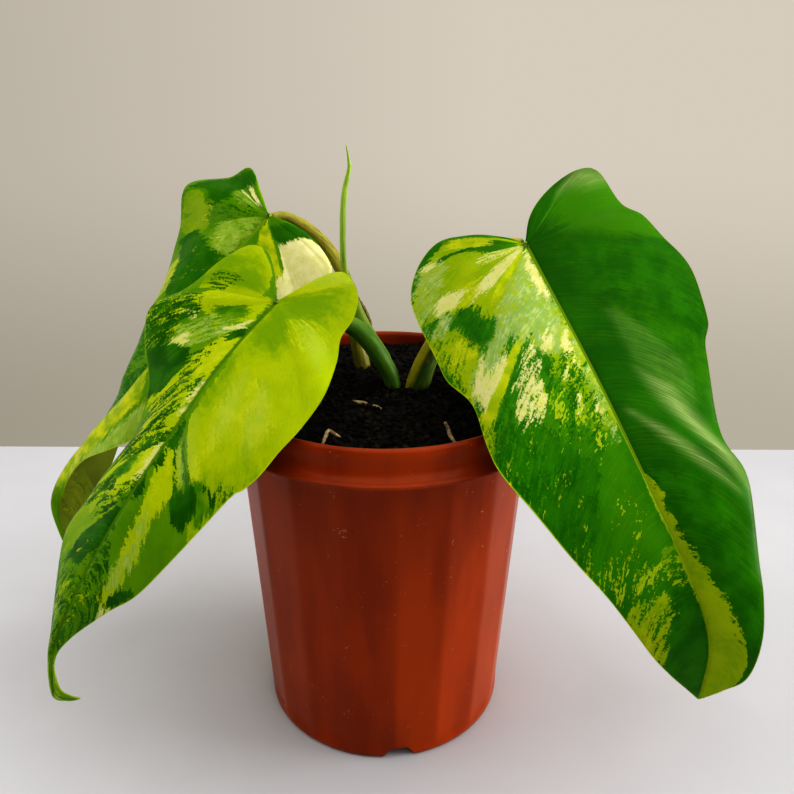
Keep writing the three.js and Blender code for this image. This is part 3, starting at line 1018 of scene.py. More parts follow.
@dataclass
class Blade:
    """One heart-shaped blade: a thin sheet with a sunken midrib and swellings between its veins."""

    node: str
    name: str
    shape: BladeShape
    patches: tuple[Patch, ...]
    finish: BladeFinish
    rows: int = 230
    columns: int = 46
    thickness: float = 0.8
    veins: int = 9
    quilting: float = 0.55
    bow: float = 0.022
    groove: float = 0.45
    ridge: float = 1.2
    wave: float = 0.6
    painted_reach: float = 20.0
    COLUMN_POWER = 1.5
    RIM_COLUMN = 0.985
    RIB_TAPER = 0.65
    PANEL_POWER = 0.55
    PANEL_LEVEL = 0.75
    UNEVENNESS = 0.35
    GROOVE_WIDTH = 1.1
    RIDGE_WIDTH = 1.25
    VEIN_LINE = 0.22
    RIM_SHARE = 0.45
    MAP_BORDER = 0.02

    def build(self, groups: SharedGroups) -> None:
        """Builds and dresses the blade."""
        piece = self._draft(BladeSheet(self.shape)).make(self.name)
        place_piece(piece, "blade", self.finish.make(groups), self.node)

    def _draft(self, sheet: BladeSheet) -> MeshDraft:
        """Lays out the mesh of both faces.

        Args:
            sheet: The blade's middle surface.

        Returns:
            The closed mesh with its painted values.
        """
        veins = np.linspace(0, 1, self.rows + 1)[1:-1]
        outs = np.linspace(0, 1, self.columns + 1) ** self.COLUMN_POWER
        outs[-2] = self.RIM_COLUMN
        on_rib = np.flatnonzero(sheet.rib_share(veins) > 0)
        starts = np.array([sheet.LOBE_SHARE, 1.0, *veins[on_rib]])
        first = len(starts)
        vertices = [sheet.rib.at(sheet.rib_share(starts))]
        vein, out, side = [starts], [np.zeros(first)], [np.ones(first)]
        flat = [sheet.flat(1, starts, out[0])]
        rib_index = np.zeros(len(veins), int)
        rib_index[on_rib] = np.arange(2, first)
        faces: list[tuple[int, ...]] = []
        edge: list[int] = []
        for half in (-1, 1):
            v, w = np.meshgrid(veins, outs[1:], indexing="ij")
            vertices.append(sheet.middle(half, veins, outs[1:]).reshape(-1, 3))
            vein.append(v.ravel())
            out.append(w.ravel())
            side.append(np.full(v.size, float(half)))
            flat.append(sheet.flat(half, v.ravel(), w.ravel()))
            index = np.column_stack([rib_index, first + np.arange(v.size).reshape(v.shape)])
            faces += self._half_faces(index, half)
            edge += [0, *index[:, -1]] if half > 0 else [1, *index[::-1, -1]]
            first += v.size
        values = {"vein": np.concatenate(vein), "out": np.concatenate(out), "side": np.concatenate(side)}
        return self._thickened(sheet, np.vstack(vertices), faces, edge, values, np.vstack(flat))

    @staticmethod
    def _half_faces(index: Array, half: int) -> list[tuple[int, ...]]:
        """Joins one half's grid into faces that look up.

        Args:
            index: Vertex numbers, one row per vein.
            half: -1 for the left half, 1 for the right one.

        Returns:
            The faces.
        """
        faces = []
        for near, far in zip(index, index[1:]):
            for a, b, c, d in zip(near, far, far[1:], near[1:]):
                face = (a, b, c, d) if a != b else (a, c, d)
                faces.append(tuple(int(i) for i in (face if half > 0 else face[::-1])))
        for a, b in zip(index[-1], index[-1][1:]):
            faces.append((int(a), 1, int(b)) if half > 0 else (int(b), 1, int(a)))
        return faces

    def _thickened(self, sheet: BladeSheet, middle: Array, faces: list, edge: list[int],
                   read: dict[str, Array], flat: Array) -> MeshDraft:
        """Gives the sheet its two faces, its relief and its painted values.

        Args:
            sheet: The blade's middle surface.
            middle: The middle surface's vertices.
            faces: The faces of its upper side.
            edge: The vertices around the margin, in order.
            read: Vein number, share out and side of each vertex.
            flat: Each vertex's place on the flat blade.

        Returns:
            The closed mesh.
        """
        vein, out, side = read["vein"], read["out"], read["side"]
        normals = vertex_normals(middle, faces)
        reach = np.zeros(len(middle))
        for half in (-1, 1):
            chosen = side == half
            inner, outer = sheet.ends(half, vein[chosen])
            reach[chosen] = np.linalg.norm(outer - inner, axis=1)
        taper = 1 - self.RIB_TAPER * np.clip(flat[:, 0] / sheet.rib.length, 0, 1)
        rib = np.hypot(flat[:, 1], np.maximum(-flat[:, 0], 0))
        margin = (1 - out) * reach
        curved = vein + self.bow * 4 * out * (1 - out)
        panel = np.abs(np.cos(math.pi * self.veins * curved)) ** self.PANEL_POWER
        envelope = smooth_step(out * reach, 1.0, 14.0) * (1 - smooth_step(out, 0.82, 1.0))
        swell = self.quilting * (panel - self.PANEL_LEVEL) * envelope
        ripple = self.wave * out**4 * rough(np.column_stack([vein * 9, side * 5, vein * 0]), 1.0, 2)
        uneven = self.UNEVENNESS * rough(middle, 22.0, 2, 3.0)
        lift = (swell + ripple + uneven * smooth_step(out * reach, 0.0, 10.0))[:, None]
        sunk = self.groove * np.exp(-(rib / self.GROOVE_WIDTH) ** 2) * taper
        line = self.VEIN_LINE * (1 - panel) ** 2 * envelope
        rim = self.RIM_SHARE
        half_thick = self.thickness / 2 * (rim + (1 - rim) * smooth_step(margin, 0.0, 1.2))
        keel = self.ridge * np.exp(-(rib / self.RIDGE_WIDTH) ** 2) * taper
        top = middle + normals * (lift + (half_thick - sunk)[:, None])
        bottom = middle + normals * (lift - (half_thick + keel + line)[:, None])
        count = len(middle)
        all_faces = faces + [tuple(i + count for i in face[::-1]) for face in faces]
        all_faces += [(b, a, a + count, b + count) for a, b in zip(edge, edge[1:] + edge[:1])]
        values = {
            "grain": np.column_stack([curved * 100, out * reach / 10, side * 3]),
            "place": np.column_stack([flat, np.zeros(count)]),
            "rib": rib,
            "rib_width": taper,
            "margin": margin,
        }
        unrolled = sheet.vein_space(side, vein, out)
        for tone in Tone:
            depth = np.full(count, -self.painted_reach)
            for patch in self.patches:
                if patch.tone is tone:
                    inside = inside_distance(unrolled, sheet.patch_outline(patch)) * patch.crisp
                    depth = np.maximum(depth, np.minimum(inside, patch.depth))
            values[tone.value] = np.clip(depth, -self.painted_reach, self.painted_reach)
        values = {title: np.concatenate([numbers, numbers]) for title, numbers in values.items()}
        values["under"] = np.repeat([0.0, 1.0], count)
        return MeshDraft(np.vstack([top, bottom]), all_faces, values, self._flat_map(flat, all_faces))

    def _flat_map(self, flat: Array, faces: list) -> Array:
        """Lays both faces of the blade side by side on a map.

        Args:
            flat: Each vertex's place on the flat blade.
            faces: All faces of the closed mesh.

        Returns:
            A map place for each corner of each face.
        """
        low, high = flat.min(0), flat.max(0)
        room = 1 - 2 * self.MAP_BORDER
        scale = min(room / (high[0] - low[0]), (room - 0.5) / (high[1] - low[1]))
        upper = ((flat - low) * scale + self.MAP_BORDER)[:, ::-1]
        lower = upper + np.array([0.5, 0.0])
        corners = np.fromiter((i for face in faces for i in face), int)
        return np.vstack([upper, lower])[corners]


@dataclass(frozen=True)
class StalkFinish(Finish):
    """The smooth fleshy skin of a petiole, a sheath or a rolled leaf."""

    base: Colour
    second: Colour
    streak: Colour
    lit_side: Colour
    streak_level: float = 0.56
    side_share: float = 0.6
    side_edge: tuple[float, float] = (0.0, 1.0)
    roughness: tuple[float, float] = (0.45, 0.6)

    def lay(self, skin: Skin) -> None:
        """Lays the nodes of the fleshy skin.

        Args:
            skin: The material being made.
        """
        grain = skin.grain()
        colour = skin.mottled(skin.place(), 9.0, self.base, self.second)
        lit = skin.step(skin.painted("lit"), *self.side_edge)
        colour = skin.over(colour, self.lit_side, lit, self.side_share)
        streaks, height = skin.streaked(grain, 2.2, self.streak_level, 0.05)
        colour = skin.over(colour, self.streak, streaks, 0.7)
        fine = skin.noise(skin.scaled(grain, (3.0, 3.0, 0.6)), 3.0)
        colour = skin.mix(skin.span(fine, 0.0, 0.25), colour, self.second)
        skin.bump(skin.math("ADD", height, fine), 0.5, 0.2)
        skin.finish(colour, skin.span(fine, *self.roughness))


class Section(Enum):
    """How a stalk looks when cut across."""

    ROUND = "round"
    GROOVED = "grooved"
    ROLLED = "rolled"


@dataclass
class Stalk:
    """A tapering stalk along a route, with radii at even steps from its root end."""

    node: str
    name: str
    slot: str
    route: tuple[Point, ...]
    radii: tuple[float, ...]
    finish: StalkFinish | None = None
    section: Section = Section.ROUND
    sides: int = 32
    step: float = 1.4
    open_top: float = 0.0
    top_trim: float = 0.0
    lit_from: Point = (-0.5, -0.2, 0.85)
    LUMPINESS = 0.03
    GRAIN_LENGTH = 14.0
    GROOVE_DEPTH = 0.14
    ROLL_STEP = 0.2

    def build(self, groups: SharedGroups) -> None:
        """Builds and dresses the stalk."""
        piece = self.draft().make(self.name)
        place_piece(piece, self.slot, self.finish.make(groups), self.node)

    def draft(self) -> MeshDraft:
        """Lays out the mesh.

        Returns:
            A closed tube with its painted values.
        """
        curve = SmoothCurve(self.route)
        steps = max(6, int(curve.length / self.step))
        shares = np.linspace(0, 1 - self.top_trim / curve.length, steps + 1)
        centres = curve.at(shares)
        forward = curve.direction(shares)
        radii = np.interp(shares, np.linspace(0, 1, len(self.radii)), self.radii)
        right, up = self._frames(forward)
        angles = around(self.sides)
        profile = self._profile(angles, shares)
        lumps = 1 + self.LUMPINESS * rough(centres, 6.0, 2, 5.0)[:, None]
        ring = (right[:, None] * np.cos(angles)[None, :, None] + up[:, None] * np.sin(angles)[None, :, None])
        vertices = centres[:, None] + ring * (radii[:, None] * profile * lumps)[..., None]
        if self.open_top:
            lean = 0.5 + 0.5 * np.cos(angles + 1.2)
            tilt = self.open_top * smooth_step(shares, 0.86, 1.0)[:, None] * lean
            vertices = vertices + forward[:, None] * tilt[..., None]
        cap_low, cap_high = centres[0] - forward[0] * 0.2, centres[-1] + forward[-1] * radii[-1] * 0.35
        points = np.vstack([vertices.reshape(-1, 3), cap_low, cap_high])
        lit = np.clip(ring @ np.array(self.lit_from), 0, 1)
        length = curve.length / self.GRAIN_LENGTH
        across = np.tile(np.column_stack([np.cos(angles), np.sin(angles)]) * 2, (steps + 1, 1))
        grain = np.column_stack([across, np.repeat(shares * length, self.sides)])
        values = {
            "grain": np.vstack([grain, [0, 0, 0], [0, 0, length]]),
            "lit": np.concatenate([lit.ravel(), [0.0, 0.0]]),
        }
        return MeshDraft(points, tube_faces(steps + 1, self.sides), values)

    @staticmethod
    def _frames(forward: Array) -> tuple[Array, Array]:
        """Carries a pair of cross directions along the route without twist.

        Args:
            forward: The direction of travel at each ring.

        Returns:
            Two unit vectors for each ring.
        """
        right = np.zeros_like(forward)
        guide = np.array([1.0, 0.0, 0.0]) if abs(forward[0][0]) < 0.9 else np.array([0.0, 1.0, 0.0])
        for i, ahead in enumerate(forward):
            guide = guide - ahead * (guide @ ahead)
            guide /= np.linalg.norm(guide)
            right[i] = guide
        return right, np.cross(forward, right)

    def _profile(self, angles: Array, shares: Array) -> Array:
        """Finds the share of the radius at each angle of each ring.

        Args:
            angles: The angles around a ring.
            shares: Each ring's share of the length.

        Returns:
            A share for each ring and angle.
        """
        turn = angles[None, :] + shares[:, None] * (2.4 if self.section is Section.ROLLED else 0.3)
        if self.section is Section.GROOVED:
            return 1 - self.GROOVE_DEPTH * np.clip(np.cos(turn - 1.4), 0, 1) ** 3 + 0.015 * np.cos(7 * turn)
        if self.section is Section.ROLLED:
            return 0.86 + self.ROLL_STEP * ((turn / (2 * math.pi)) % 1)
        return 1 + 0.02 * np.cos(5 * turn)


@dataclass(frozen=True)
class PotFinish(Finish):
    """Semi-gloss moulded plastic with faint flow marks and a little dust."""

    name: str = "terracotta_plastic"
    body: Colour = (128, 45, 0)
    worn: Colour = (148, 56, 0)
    dust: Colour = (196, 158, 132)
    specular: float = 0.14

    def lay(self, skin: Skin) -> None:
        """Lays the nodes of the moulded plastic.

        Args:
            skin: The material being made.
        """
        place = skin.place()
        colour = skin.mottled(skin.scaled(place, (1, 1, 0.25)), 22.0, self.body, self.worn)
        flow, height = skin.streaked(skin.scaled(place, (0.5, 0.5, 0.03)), 1.0, 0.56, 0.08)
        colour = skin.over(colour, self.worn, flow, 0.12)
        dust = skin.flecked(place, 0.5, 0.004)
        colour = skin.over(colour, self.dust, dust, 0.7)
        film = skin.span(skin.noise(place, 0.06, 4.0), 0.24, 0.36)
        skin.bump(skin.math("MULTIPLY_ADD", height, 0.5, skin.noise(place, 1.4)), 0.35, 0.1)
        skin.finish(colour, skin.math("MULTIPLY_ADD", dust, 0.3, film), self.specular)


@dataclass
class Pot:
    """The tall nursery pot: a fluted tapering wall, a round collar over a thin ledge, and drains."""

    height: float = 165.0
    foot_radius: float = 57.1
    body_top_radius: float = 65.5
    body_top: float = 150.0
    ledge_radius: float = 75.0
    lip_radius: float = 69.0
    wall: float = 1.9
    floor: float = 2.4
    flutes: int = 18
    flute_turn: float = math.radians(-4.5)
    notch_turn: float = math.radians(7.5)
    notches: int = 4
    drain_holes: int = 6
    hole_ring: float = 33.0
    hole_radius: float = 4.5
    hole_sides: int = 32
    steps_per_flute: int = 16
    flute_softness: float = 0.0022
    crease_degrees: float = 32.0
    finish: PotFinish = PotFinish()
    NOTCH = ((-9.1, -1.5), (9.1, -1.5), (5.0, 5.0), (4.2, 5.8), (3.2, 6.1), (-3.2, 6.1), (-4.2, 5.8),
             (-5.0, 5.0))

    def build(self, groups: SharedGroups) -> None:
        """Builds and dresses the pot.

        Args:
            groups: The shared effects.
        """
        piece = self._wall().make("nursery_pot")
        self._cut(piece, [*self._notch_blocks(), *self._hole_rods()])
        piece.data.shade_smooth()
        piece.data.set_sharp_from_angle(angle=math.radians(self.crease_degrees))
        place_piece(piece, "pot_plastic", self.finish.make(groups), "pot")

    def inner_radius(self, height: float) -> float:
        """Gives the inside radius of the wall at a height."""
        widening = (self.body_top_radius - self.foot_radius) / self.body_top
        return self.foot_radius + widening * height - self.wall

    def _outline(self) -> list[tuple[float, float]]:
        """Lists the radius and height of each ring, up the outside and down the inside.

        Returns:
            A radius and a height for each ring.
        """
        top, lip, ledge = self.body_top, self.lip_radius, self.ledge_radius
        heights = [3, 4, 5.5, 7, 9, 12, *range(20, 141, 10), 144, 146, 147.5, 148.6]
        outer = [(self.inner_radius(z) + self.wall, z) for z in heights]
        foot = [(20.0, 0.0), (40.0, 0.0)]
        foot += [(self.foot_radius + x, z) for x, z in ((-2.5, 0.0), (-1.4, 0.2), (-0.6, 0.8), (0.0, 1.8))]
        under = [(self.body_top_radius + 0.2, top - 0.6), (self.body_top_radius + 0.9, top - 0.1)]
        brim = [(ledge + x, top + z) for x, z in (
            (-3.0, 0.3), (-0.9, 0.7), (-0.2, 1.1), (0.0, 1.7), (-0.1, 2.2), (-0.5, 2.6), (-1.4, 2.9),
            (-2.6, 3.3))]
        collar = [(lip + x, top + z) for x, z in (
            (2.3, 4.2), (1.5, 5.4), (1.05, 6.8), (1.0, 8.4), (1.15, 10.0), (1.3, 11.5), (1.3, 12.6))]
        crest = [(lip + x, self.height + z) for x, z in (
            (1.0, -1.2), (0.55, -0.45), (-0.2, -0.05), (-0.9, 0.0), (-1.6, -0.25), (-2.2, -0.9),
            (-2.55, -1.8), (-2.7, -3.2))]
        inner_top = self.inner_radius(top) + 0.6
        inside = [(inner_top + 1.0, top + 6), (inner_top + 0.2, top + 2.5), (inner_top, top + 1)]
        inside += [(self.inner_radius(z), float(z)) for z in (140, 100, 50, 6)]
        base = [(self.inner_radius(self.floor) - 1.0, self.floor + 1), (52.0, self.floor), (20.0, self.floor)]
        return [*foot, *outer, *under, *brim, *collar, *crest, *inside, *base]

    def _wall(self) -> MeshDraft:
        """Turns the outline about the pot's axis, with its flutes.

        Returns:
            The closed wall and floor.
        """
        outline = np.array(self._outline())
        sides = self.flutes * self.steps_per_flute
        angles = around(sides)
        panel = 2 * math.pi / self.flutes
        from_middle = (angles % panel) - panel / 2
        edge = np.abs(from_middle) / (panel / 2)
        chord = math.cos(panel / 2) / np.cos(from_middle)
        rounded = chord - self.flute_softness * smooth_step(edge, 0.82, 1.0)
        radius, height = outline[:, :1], outline[:, 1:]
        on_wall = (radius > self.inner_radius(height) - self.wall) & (height < self.body_top)
        share = smooth_step(height, 3, 9) * (1 - smooth_step(height, 143, 149)) * on_wall
        shaped = radius * (1 + share * (rounded[None, :] - 1))
        turn = angles + self.flute_turn
        rings = np.stack([shaped * np.cos(turn), shaped * np.sin(turn), np.repeat(height, sides, 1)], -1)
        points = np.vstack([rings.reshape(-1, 3), [[0, 0, 0], [0, 0, self.floor]]])
        return MeshDraft(points, tube_faces(len(outline), sides))

    def _notch_blocks(self) -> list[Object]:
        """Makes the blocks that cut the drain notches.

        Returns:
            The blocks.
        """
        blocks = []
        for k in range(self.notches):
            turn = self.notch_turn + 2 * math.pi * k / self.notches
            near, far = -self.foot_radius - 6, -self.foot_radius + 6
            points = np.array([(x, y, z) for y in (near, far) for x, z in self.NOTCH], float)
            n = len(self.NOTCH)
            faces = [tuple(range(n)), tuple(range(2 * n - 1, n - 1, -1))]
            faces += [(i, i + n, (i + 1) % n + n, (i + 1) % n) for i in range(n)]
            c, s = math.cos(turn), math.sin(turn)
            points[:, :2] = points[:, :2] @ np.array([[c, s], [-s, c]])
            blocks.append(MeshDraft(points, faces).make(f"notch_cutter_{k}"))
        return blocks

    def _hole_rods(self) -> list[Object]:
        """Makes the rods that cut the drain holes.

        Returns:
            The rods.
        """
        rods = []
        n = self.hole_sides
        turn = around(n)
        for k in range(self.drain_holes):
            angle = (k + 0.5) / self.drain_holes * 2 * math.pi
            x = self.hole_ring * math.cos(angle) + self.hole_radius * np.cos(turn)
            y = self.hole_ring * math.sin(angle) + self.hole_radius * np.sin(turn)
            points = np.vstack([np.column_stack([x, y, np.full(n, z)]) for z in (-2.0, 5.0)])
            faces = [tuple(range(n - 1, -1, -1)), tuple(range(n, 2 * n))]
            faces += [(i, (i + 1) % n, (i + 1) % n + n, i + n) for i in range(n)]
            rods.append(MeshDraft(points, faces).make(f"hole_cutter_{k}"))
        return rods

    @staticmethod
    def _cut(piece: Object, cutters: list[Object]) -> None:
        """Cuts the cutters out of a piece and removes them.

        Args:
            piece: What is cut.
            cutters: The objects that are cut out of it.
        """
        for cutter in cutters:
            cut = piece.modifiers.new("cut", "BOOLEAN")
            cut.operation = "DIFFERENCE"
            cut.solver = "EXACT"
            cut.object = cutter
        shown = piece.evaluated_get(bpy.context.evaluated_depsgraph_get())
        mesh = bpy.data.meshes.new_from_object(shown)
        piece.modifiers.clear()
        piece.data = mesh
        for cutter in cutters:
            bpy.data.objects.remove(cutter)


@dataclass(frozen=True)
class MixFinish(Finish):
    """Near-black damp mix with browner chips in it."""

    name: str = "potting_mix"
    dark: Colour = (6, 5, 4)
    light: Colour = (44, 40, 35)
    chip: Colour = (72, 61, 46)
    specular: float = 0.15

    def lay(self, skin: Skin) -> None:
        """Lays the nodes of the damp mix.

        Args:
            skin: The material being made.
        """
        place = skin.place()
        colour = skin.mottled(place, 2.2, self.dark, self.light)
        colour = skin.over(colour, self.chip, skin.painted("chip"), 0.8)
        colour = skin.over(colour, self.chip, skin.flecked(place, 0.35, 0.25), 0.3)
        skin.bump(skin.noise(place, 0.6, 6.0, 0.75), 1.0, 2.2)
        skin.finish(colour, skin.span(skin.noise(place, 0.3), 0.65, 0.95), self.specular)


@dataclass
class PottingMix:
    """The mix in the pot: a lumpy top, its hidden sides, and loose husk-like grains."""

    pot: Pot
    level: float = 158.0
    tilt: float = 0.035
    lump_height: float = 0.7
    clod_height: float = 1.5
    crumb_height: float = 0.9
    pressed_width: float = 4.0
    rings: int = 84
    sides: int = 220
    grains: int = 1500
    grain_lengths: tuple[float, float] = (1.0, 3.6)
    grain_unevenness: float = 0.14
    seed: int = 11
    finish: MixFinish = MixFinish()
    GAP_BELOW = 0.35

    def surface(self, x: Array | float, y: Array | float) -> Array | float:
        """Gives the height of the mix before its grain, as in the frame."""
        lumps = np.sin(x * 0.21 + 1) * np.cos(y * 0.17) + 0.6 * np.sin(x * 0.09 - y * 0.13)
        return self.level + self.tilt * y + self.lump_height * lumps

    def build(self, groups: SharedGroups) -> None:
        """Builds and dresses the mix."""
        piece = self._body().joined(self._loose_grains()).make("potting_mix_bed")
        place_piece(piece, "potting_mix", self.finish.make(groups), "potting_mix")

    def _body(self) -> MeshDraft:
        """Makes the top and the sides that the pot hides.

        Returns:
            The closed body of the mix.
        """
        rim = self.pot.inner_radius(self.level) + 0.1
        angles = around(self.sides)
        radii = np.linspace(0, rim, self.rings + 1)[1:]
        r, a = np.meshgrid(radii, angles, indexing="ij")
        x, y = (r * np.cos(a)).ravel(), (r * np.sin(a)).ravel()
        flat = np.column_stack([x, y, np.zeros_like(x)])
        clods = self.clod_height * rough(flat, 6.0, 3, 1.0) + self.crumb_height * rough(flat, 2.4, 2, 2.0)
        settle = 1 - 0.6 * smooth_step(r.ravel(), rim - self.pressed_width, rim)
        top = np.column_stack([x, y, self.surface(x, y) + clods * settle])
        bottom = self.pot.floor + self.GAP_BELOW
        sides = []
        for z in (150.0, 100.0, 50.0, 5.0, bottom):
            radius = self.pot.inner_radius(z) - 0.7 if z > 4 else self.pot.inner_radius(z) - 3.8
            height = np.full(self.sides, z)
            sides.append(np.column_stack([radius * np.cos(angles), radius * np.sin(angles), height]))
        centre = np.array([[0, 0, self.surface(0.0, 0.0)], [0, 0, bottom]])
        points = np.vstack([centre, top, *sides])
        rows = self.rings + len(sides)
        faces: list[tuple[int, ...]] = []
        for s in range(self.sides):
            t = (s + 1) % self.sides
            faces.append((0, 2 + s, 2 + t))
            for i in range(rows - 1):
                low, high = 2 + i * self.sides, 2 + (i + 1) * self.sides
                faces.append((low + s, high + s, high + t, low + t))
            base = 2 + (rows - 1) * self.sides
            faces.append((1, base + t, base + s))
        return MeshDraft(points, faces, {"chip": np.zeros(len(points))})

    def _loose_grains(self) -> MeshDraft:
        """Strews bent chips and husks over the top.

        Returns:
            All the grains in one draft.
        """
        draw = np.random.default_rng(self.seed)
        rim = self.pot.inner_radius(self.level) - 1.5
        points, faces, chips = [], [], []
        for _ in range(self.grains):
            radius, angle = rim * math.sqrt(draw.random()), draw.random() * 2 * math.pi
            x, y = radius * math.cos(angle), radius * math.sin(angle)
            length = draw.uniform(*self.grain_lengths)
            width = length * draw.uniform(0.4, 0.9)
            turn, pitch, roll = draw.uniform(0, 2 * math.pi), draw.normal(0, 0.6), draw.normal(0, 0.8)
            z = self.surface(x, y) + draw.uniform(-0.2, 1.0)
            shape = self._grain(length, width, draw)
            shape = shape @ self._turned(turn, pitch, roll).T + np.array([x, y, z])
            count = len(points) * 8
            points.append(shape)
            chips.append(np.full(8, draw.random() ** 3))
            faces += [tuple(count + i for i in face) for face in (
                (0, 3, 2, 1), (4, 5, 6, 7), (0, 1, 5, 4), (1, 2, 6, 5), (2, 3, 7, 6), (3, 0, 4, 7))]
        return MeshDraft(np.vstack(points), faces, {"chip": np.concatenate(chips)})

    def _grain(self, length: float, width: float, draw: np.random.Generator) -> Array:
        """Makes one chip lying along x, with uneven corners.

        Args:
            length: Its length in millimetres.
            width: Its width in millimetres.
            draw: Where its unevenness is drawn from.

        Returns:
            Its eight corners.
        """
        low = np.array([[-1, -1, -0.7], [1, -0.6, -0.7], [1, 0.6, -0.7], [-1, 1, -0.7]])
        both = np.vstack([low, low * np.array([0.8, 0.8, -1])])
        both = both + draw.normal(0, self.grain_unevenness, both.shape)
        return both * np.array([length / 2, width / 2, width / 2])

    @staticmethod
    def _turned(turn: float, pitch: float, roll: float) -> Array:
        """Gives the matrix that turns a grain.

        Args:
            turn: The angle about z.
            pitch: The angle about y.
            roll: The angle about x.

        Returns:
            The matrix.
        """
        ct, st, cp, sp = math.cos(turn), math.sin(turn), math.cos(pitch), math.sin(pitch)
        cr, sr = math.cos(roll), math.sin(roll)
        about_z = np.array([[ct, -st, 0], [st, ct, 0], [0, 0, 1]])
        about_y = np.array([[cp, 0, sp], [0, 1, 0], [-sp, 0, cp]])
        about_x = np.array([[1, 0, 0], [0, cr, -sr], [0, sr, cr]])
        return about_z @ about_y @ about_x


@dataclass(frozen=True)
class RootFinish(Finish):
    """Pale, slightly wrinkled root skin with soil on it."""

    name: str = "root_skin"
    pale: Colour = (206, 186, 140)
    brown: Colour = (150, 122, 80)
    soil: Colour = (34, 27, 20)

    def lay(self, skin: Skin) -> None:
        """Lays the nodes of the root skin.

        Args:
            skin: The material being made.
        """
        place = skin.place()
        colour = skin.mottled(place, 2.5, self.pale, self.brown)
        colour = skin.over(colour, self.soil, skin.flecked(place, 0.5, 0.55), 0.8)
        wrinkles = skin.noise(place, 1.8, 4.0, 0.65)
        skin.bump(wrinkles, 0.6, 0.3)
        skin.finish(colour, skin.span(wrinkles, 0.55, 0.85))


@dataclass
class Roots:
    """The pale root ends that lie on the mix, and the hidden rootstock's skin."""

    mix: PottingMix
    radii: tuple[float, ...] = (0.6, 0.9, 0.8, 0.5)
    routes: tuple[tuple[Point, ...], ...] = (
        ((-14, -6, 0.2), (-11, -11, 0.9), (-8, -12, 0.8), (-6, -13, -0.6), (-4, -14, 0.8), (-1, -15, 0.2)),
        ((-24, -47, 0.2), (-23, -43, 1.2), (-22, -39, 1.6), (-20, -40, 1.3), (-18, -41, 0.9),
         (-16, -42, 0.2)),
        ((25, -40, 6), (26, -42, 4.4), (27, -44, 2), (29, -47, 0.6), (32, -47, 0.2)),
    )
    finish: RootFinish = RootFinish()

    def build(self, groups: SharedGroups) -> None:
        """Builds the root ends and dresses the rootstock.

        Args:
            groups: The shared effects.
        """
        material = self.finish.make(groups)
        for number, route in enumerate(self.routes, 1):
            raised = tuple((x, y, float(self.mix.surface(x, y)) + rise) for x, y, rise in route)
            stalk = Stalk(f"surface_root_{number}", f"root_end_{number}", "root", raised, self.radii,
                          sides=14, step=0.7)
            place_piece(stalk.draft().make(stalk.name), "root", material, stalk.node)
        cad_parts["rootstock"].material_slots[0].material = material
        log.info("rootstock: dressed as it is")


@dataclass(frozen=True)
class HuskFinish(Finish):
    """Dry brown papery husk."""

    name: str = "dry_husk"
    pale: Colour = (150, 132, 70)
    brown: Colour = (84, 62, 30)

    def lay(self, skin: Skin) -> None:
        """Lays the nodes of the dry husk.

        Args:
            skin: The material being made.
        """
        streaks, height = skin.streaked(skin.scaled(skin.place(), (1.4, 1.4, 0.25)), 1.0, 0.5, 0.12)
        skin.bump(height, 0.7, 0.4)
        skin.finish(skin.mix(streaks, self.brown, self.pale), skin.span(streaks, 0.6, 0.85))


@dataclass
class DryFlake:
    """The dry edge left of an older sheath, a thin curled flake with a torn rim."""

    route: tuple[Point, ...] = ((-6, 17, 185), (-8.5, 17.3, 191), (-10.5, 17.5, 195), (-12, 17.5, 198))
    half_width: float = 0.6
    curl: float = 0.9
    thickness: float = 0.3
    tear: float = 0.25
    slope: float = 0.6
    rows: int = 40
    columns: int = 10
    finish: HuskFinish = HuskFinish()

    def build(self, groups: SharedGroups) -> None:
        """Builds and dresses the flake."""
        piece = self._draft().make("dry_sheath_flake")
        place_piece(piece, "dry_husk", self.finish.make(groups), "dry_sheath_edge")

    def _draft(self) -> MeshDraft:
        """Lays out the closed flake.

        Returns:
            The flake's mesh.
        """
        curve = SmoothCurve(self.route)
        shares = np.linspace(0, 1, self.rows + 1)
        centres = curve.at(shares)
        outs = np.linspace(-1, 1, self.columns + 1)
        torn = 1 + self.tear * rough(centres, 2.0, 3, 9.0)
        width = self.half_width * np.sin(math.pi * (0.2 + 0.7 * shares)) * torn
        x = centres[:, :1] + width[:, None] * outs
        y = centres[:, 1:2] + self.curl * np.abs(outs)[None, :] ** 1.6
        z = centres[:, 2:] + self.slope * width[:, None] * outs
        middle = np.stack([x, y, z], -1).reshape(-1, 3)
        n = self.columns + 1
        faces = [(i * n + j, (i + 1) * n + j, (i + 1) * n + j + 1, i * n + j + 1)
                 for i in range(self.rows) for j in range(self.columns)]
        normals = vertex_normals(middle, faces)
        count = len(middle)
        points = np.vstack([middle + normals * self.thickness / 2, middle - normals * self.thickness / 2])
        rim = [*range(0, n), *range(2 * n - 1, count, n), *range(count - 2, count - n - 1, -1),
               *range(count - 2 * n, 0, -n)]
        closed = faces + [tuple(i + count for i in face[::-1]) for face in faces]
        closed += [(a, b, b + count, a + count) for a, b in zip(rim, rim[1:] + rim[:1])]
        return MeshDraft(points, closed)


@dataclass(frozen=True)
class FloorFinish(Finish):
    """Plain pale matt floor with the faintest unevenness."""

    name: str = "pale_floor"
    colour: Colour = (202, 203, 208)
    second: Colour = (196, 197, 202)
    roughness: float = 0.6
    specular: float = 0.1

    def lay(self, skin: Skin) -> None:
        """Lays the nodes of the floor."""
        tones = skin.mottled(skin.place(), 160.0, self.colour, self.second)
        skin.finish(tones, self.roughness, self.specular)


@dataclass(frozen=True)
class Lamp:
    """A soft rectangular light: where it stands, where it looks, its size and its strength."""

    name: str
    place: Point
    target: Point
    width: float
    height: float
    watts: float
    colour: Colour = (255, 253, 250)


